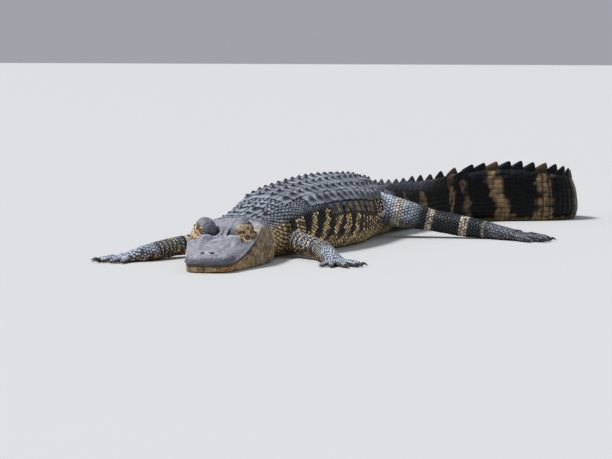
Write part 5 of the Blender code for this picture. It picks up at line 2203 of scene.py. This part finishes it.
clawShape = {
    "sides": 12,
    "rings": 10,
    "root": -0.18,
    "arch": 0.0022,
    "tipDrop": 0.0018,
    "taper": (1.12, 0.98, 1.2),
    "flatten": 1.15,
    "colour": paint(52, 46, 42),
}


def buildClaws():
    forms = []
    shares = np.linspace(clawShape["root"], 1.0, clawShape["rings"])
    thick, taper, power = clawShape["taper"]
    sizes = [limbs["clawRadius"] * (thick - taper * max(t, 0) ** power) for t in shares]
    run = np.concatenate([np.repeat(shares, clawShape["sides"]), [shares[0], shares[-1]]])
    tone = clawShape["colour"] * (0.6 + 0.9 * np.clip(run, 0, 1))[:, None]
    for centres, _, clawed, ahead in digitRuns:
        if not clawed:
            continue
        tip = Vector(centres[-1])
        runs = []
        for t in shares:
            rise = clawShape["arch"] * math.sin(math.pi * max(t, 0)) - clawShape["tipDrop"] * max(t, 0) ** 2
            runs.append(tip + ahead * limbs["clawLength"] * t + Vector((0, 0, rise)))
        forms.append(closeRings(tubeRings(runs, sizes, clawShape["sides"], clawShape["flatten"])))
    claws = joined("claws", forms)
    faceOutwards(claws.data)
    claws.data.materials.append(hideMaterial("claw_horn"))
    tones = np.tile(tone, (len(forms), 1))
    writeTint(claws.data, tones, np.full(len(tones), 0.7))
    claws.data.shade_smooth()
    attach(claws, "root")
    names = [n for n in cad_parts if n.startswith("claw_")]
    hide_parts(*names)


buildClaws()
print("claws set")

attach(hide, "root")
fleshNodes = [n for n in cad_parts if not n.startswith(("claw_", "eye_"))]
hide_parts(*fleshNodes)

# Camera, light and floor

view = {
    "place": (1.6651, -4.2562, 0.38),
    "turn": 21.5,
    "pitch": 4.406,
    "lens": 145.88,
    "sensor": 36.0,
    "clipEnd": 200.0,
}
studio = {
    "floorHalf": 30,
    "floorTone": 0.62,
    "floorRoughness": 0.85,
    "worldColour": (0.86, 0.92, 1.0),
    "worldStrength": 0.40,
    "keyFrom": (-0.45, -0.22, 0.85),
    "keyPower": 3.1,
    "keyAngle": 12.0,
}


def buildStudio():
    cameraData = bpy.data.cameras.new("camera")
    camera = placed("camera", cameraData)
    cameraData.sensor_width = view["sensor"]
    cameraData.lens = view["lens"]
    cameraData.clip_end = view["clipEnd"]
    camera.location = view["place"]
    camera.rotation_euler = (math.radians(90 - view["pitch"]), 0.0, math.radians(view["turn"]))
    bpy.context.scene.camera = camera
    half = studio["floorHalf"]
    corners = [(-half, -half, 0), (half, -half, 0), (half, half, 0), (-half, half, 0)]
    floor = meshObject("floor", corners, [(0, 1, 2, 3)])
    material = bpy.data.materials.new("floor_pale")
    material.use_nodes = True
    shader = material.node_tree.nodes["Principled BSDF"]
    shader.inputs["Base Color"].default_value = (studio["floorTone"],) * 3 + (1.0,)
    shader.inputs["Roughness"].default_value = studio["floorRoughness"]
    floor.data.materials.append(material)
    world = bpy.data.worlds.new("studio")
    bpy.context.scene.world = world
    world.use_nodes = True
    background = world.node_tree.nodes["Background"]
    background.inputs["Color"].default_value = studio["worldColour"] + (1.0,)
    background.inputs["Strength"].default_value = studio["worldStrength"]
    lightData = bpy.data.lights.new("key", "SUN")
    lightData.energy = studio["keyPower"]
    lightData.angle = math.radians(studio["keyAngle"])
    light = placed("key", lightData)
    light.rotation_euler = Vector(studio["keyFrom"]).to_track_quat("Z", "Y").to_euler()
    bpy.context.scene.view_settings.view_transform = "Standard"


buildStudio()
print("studio set")
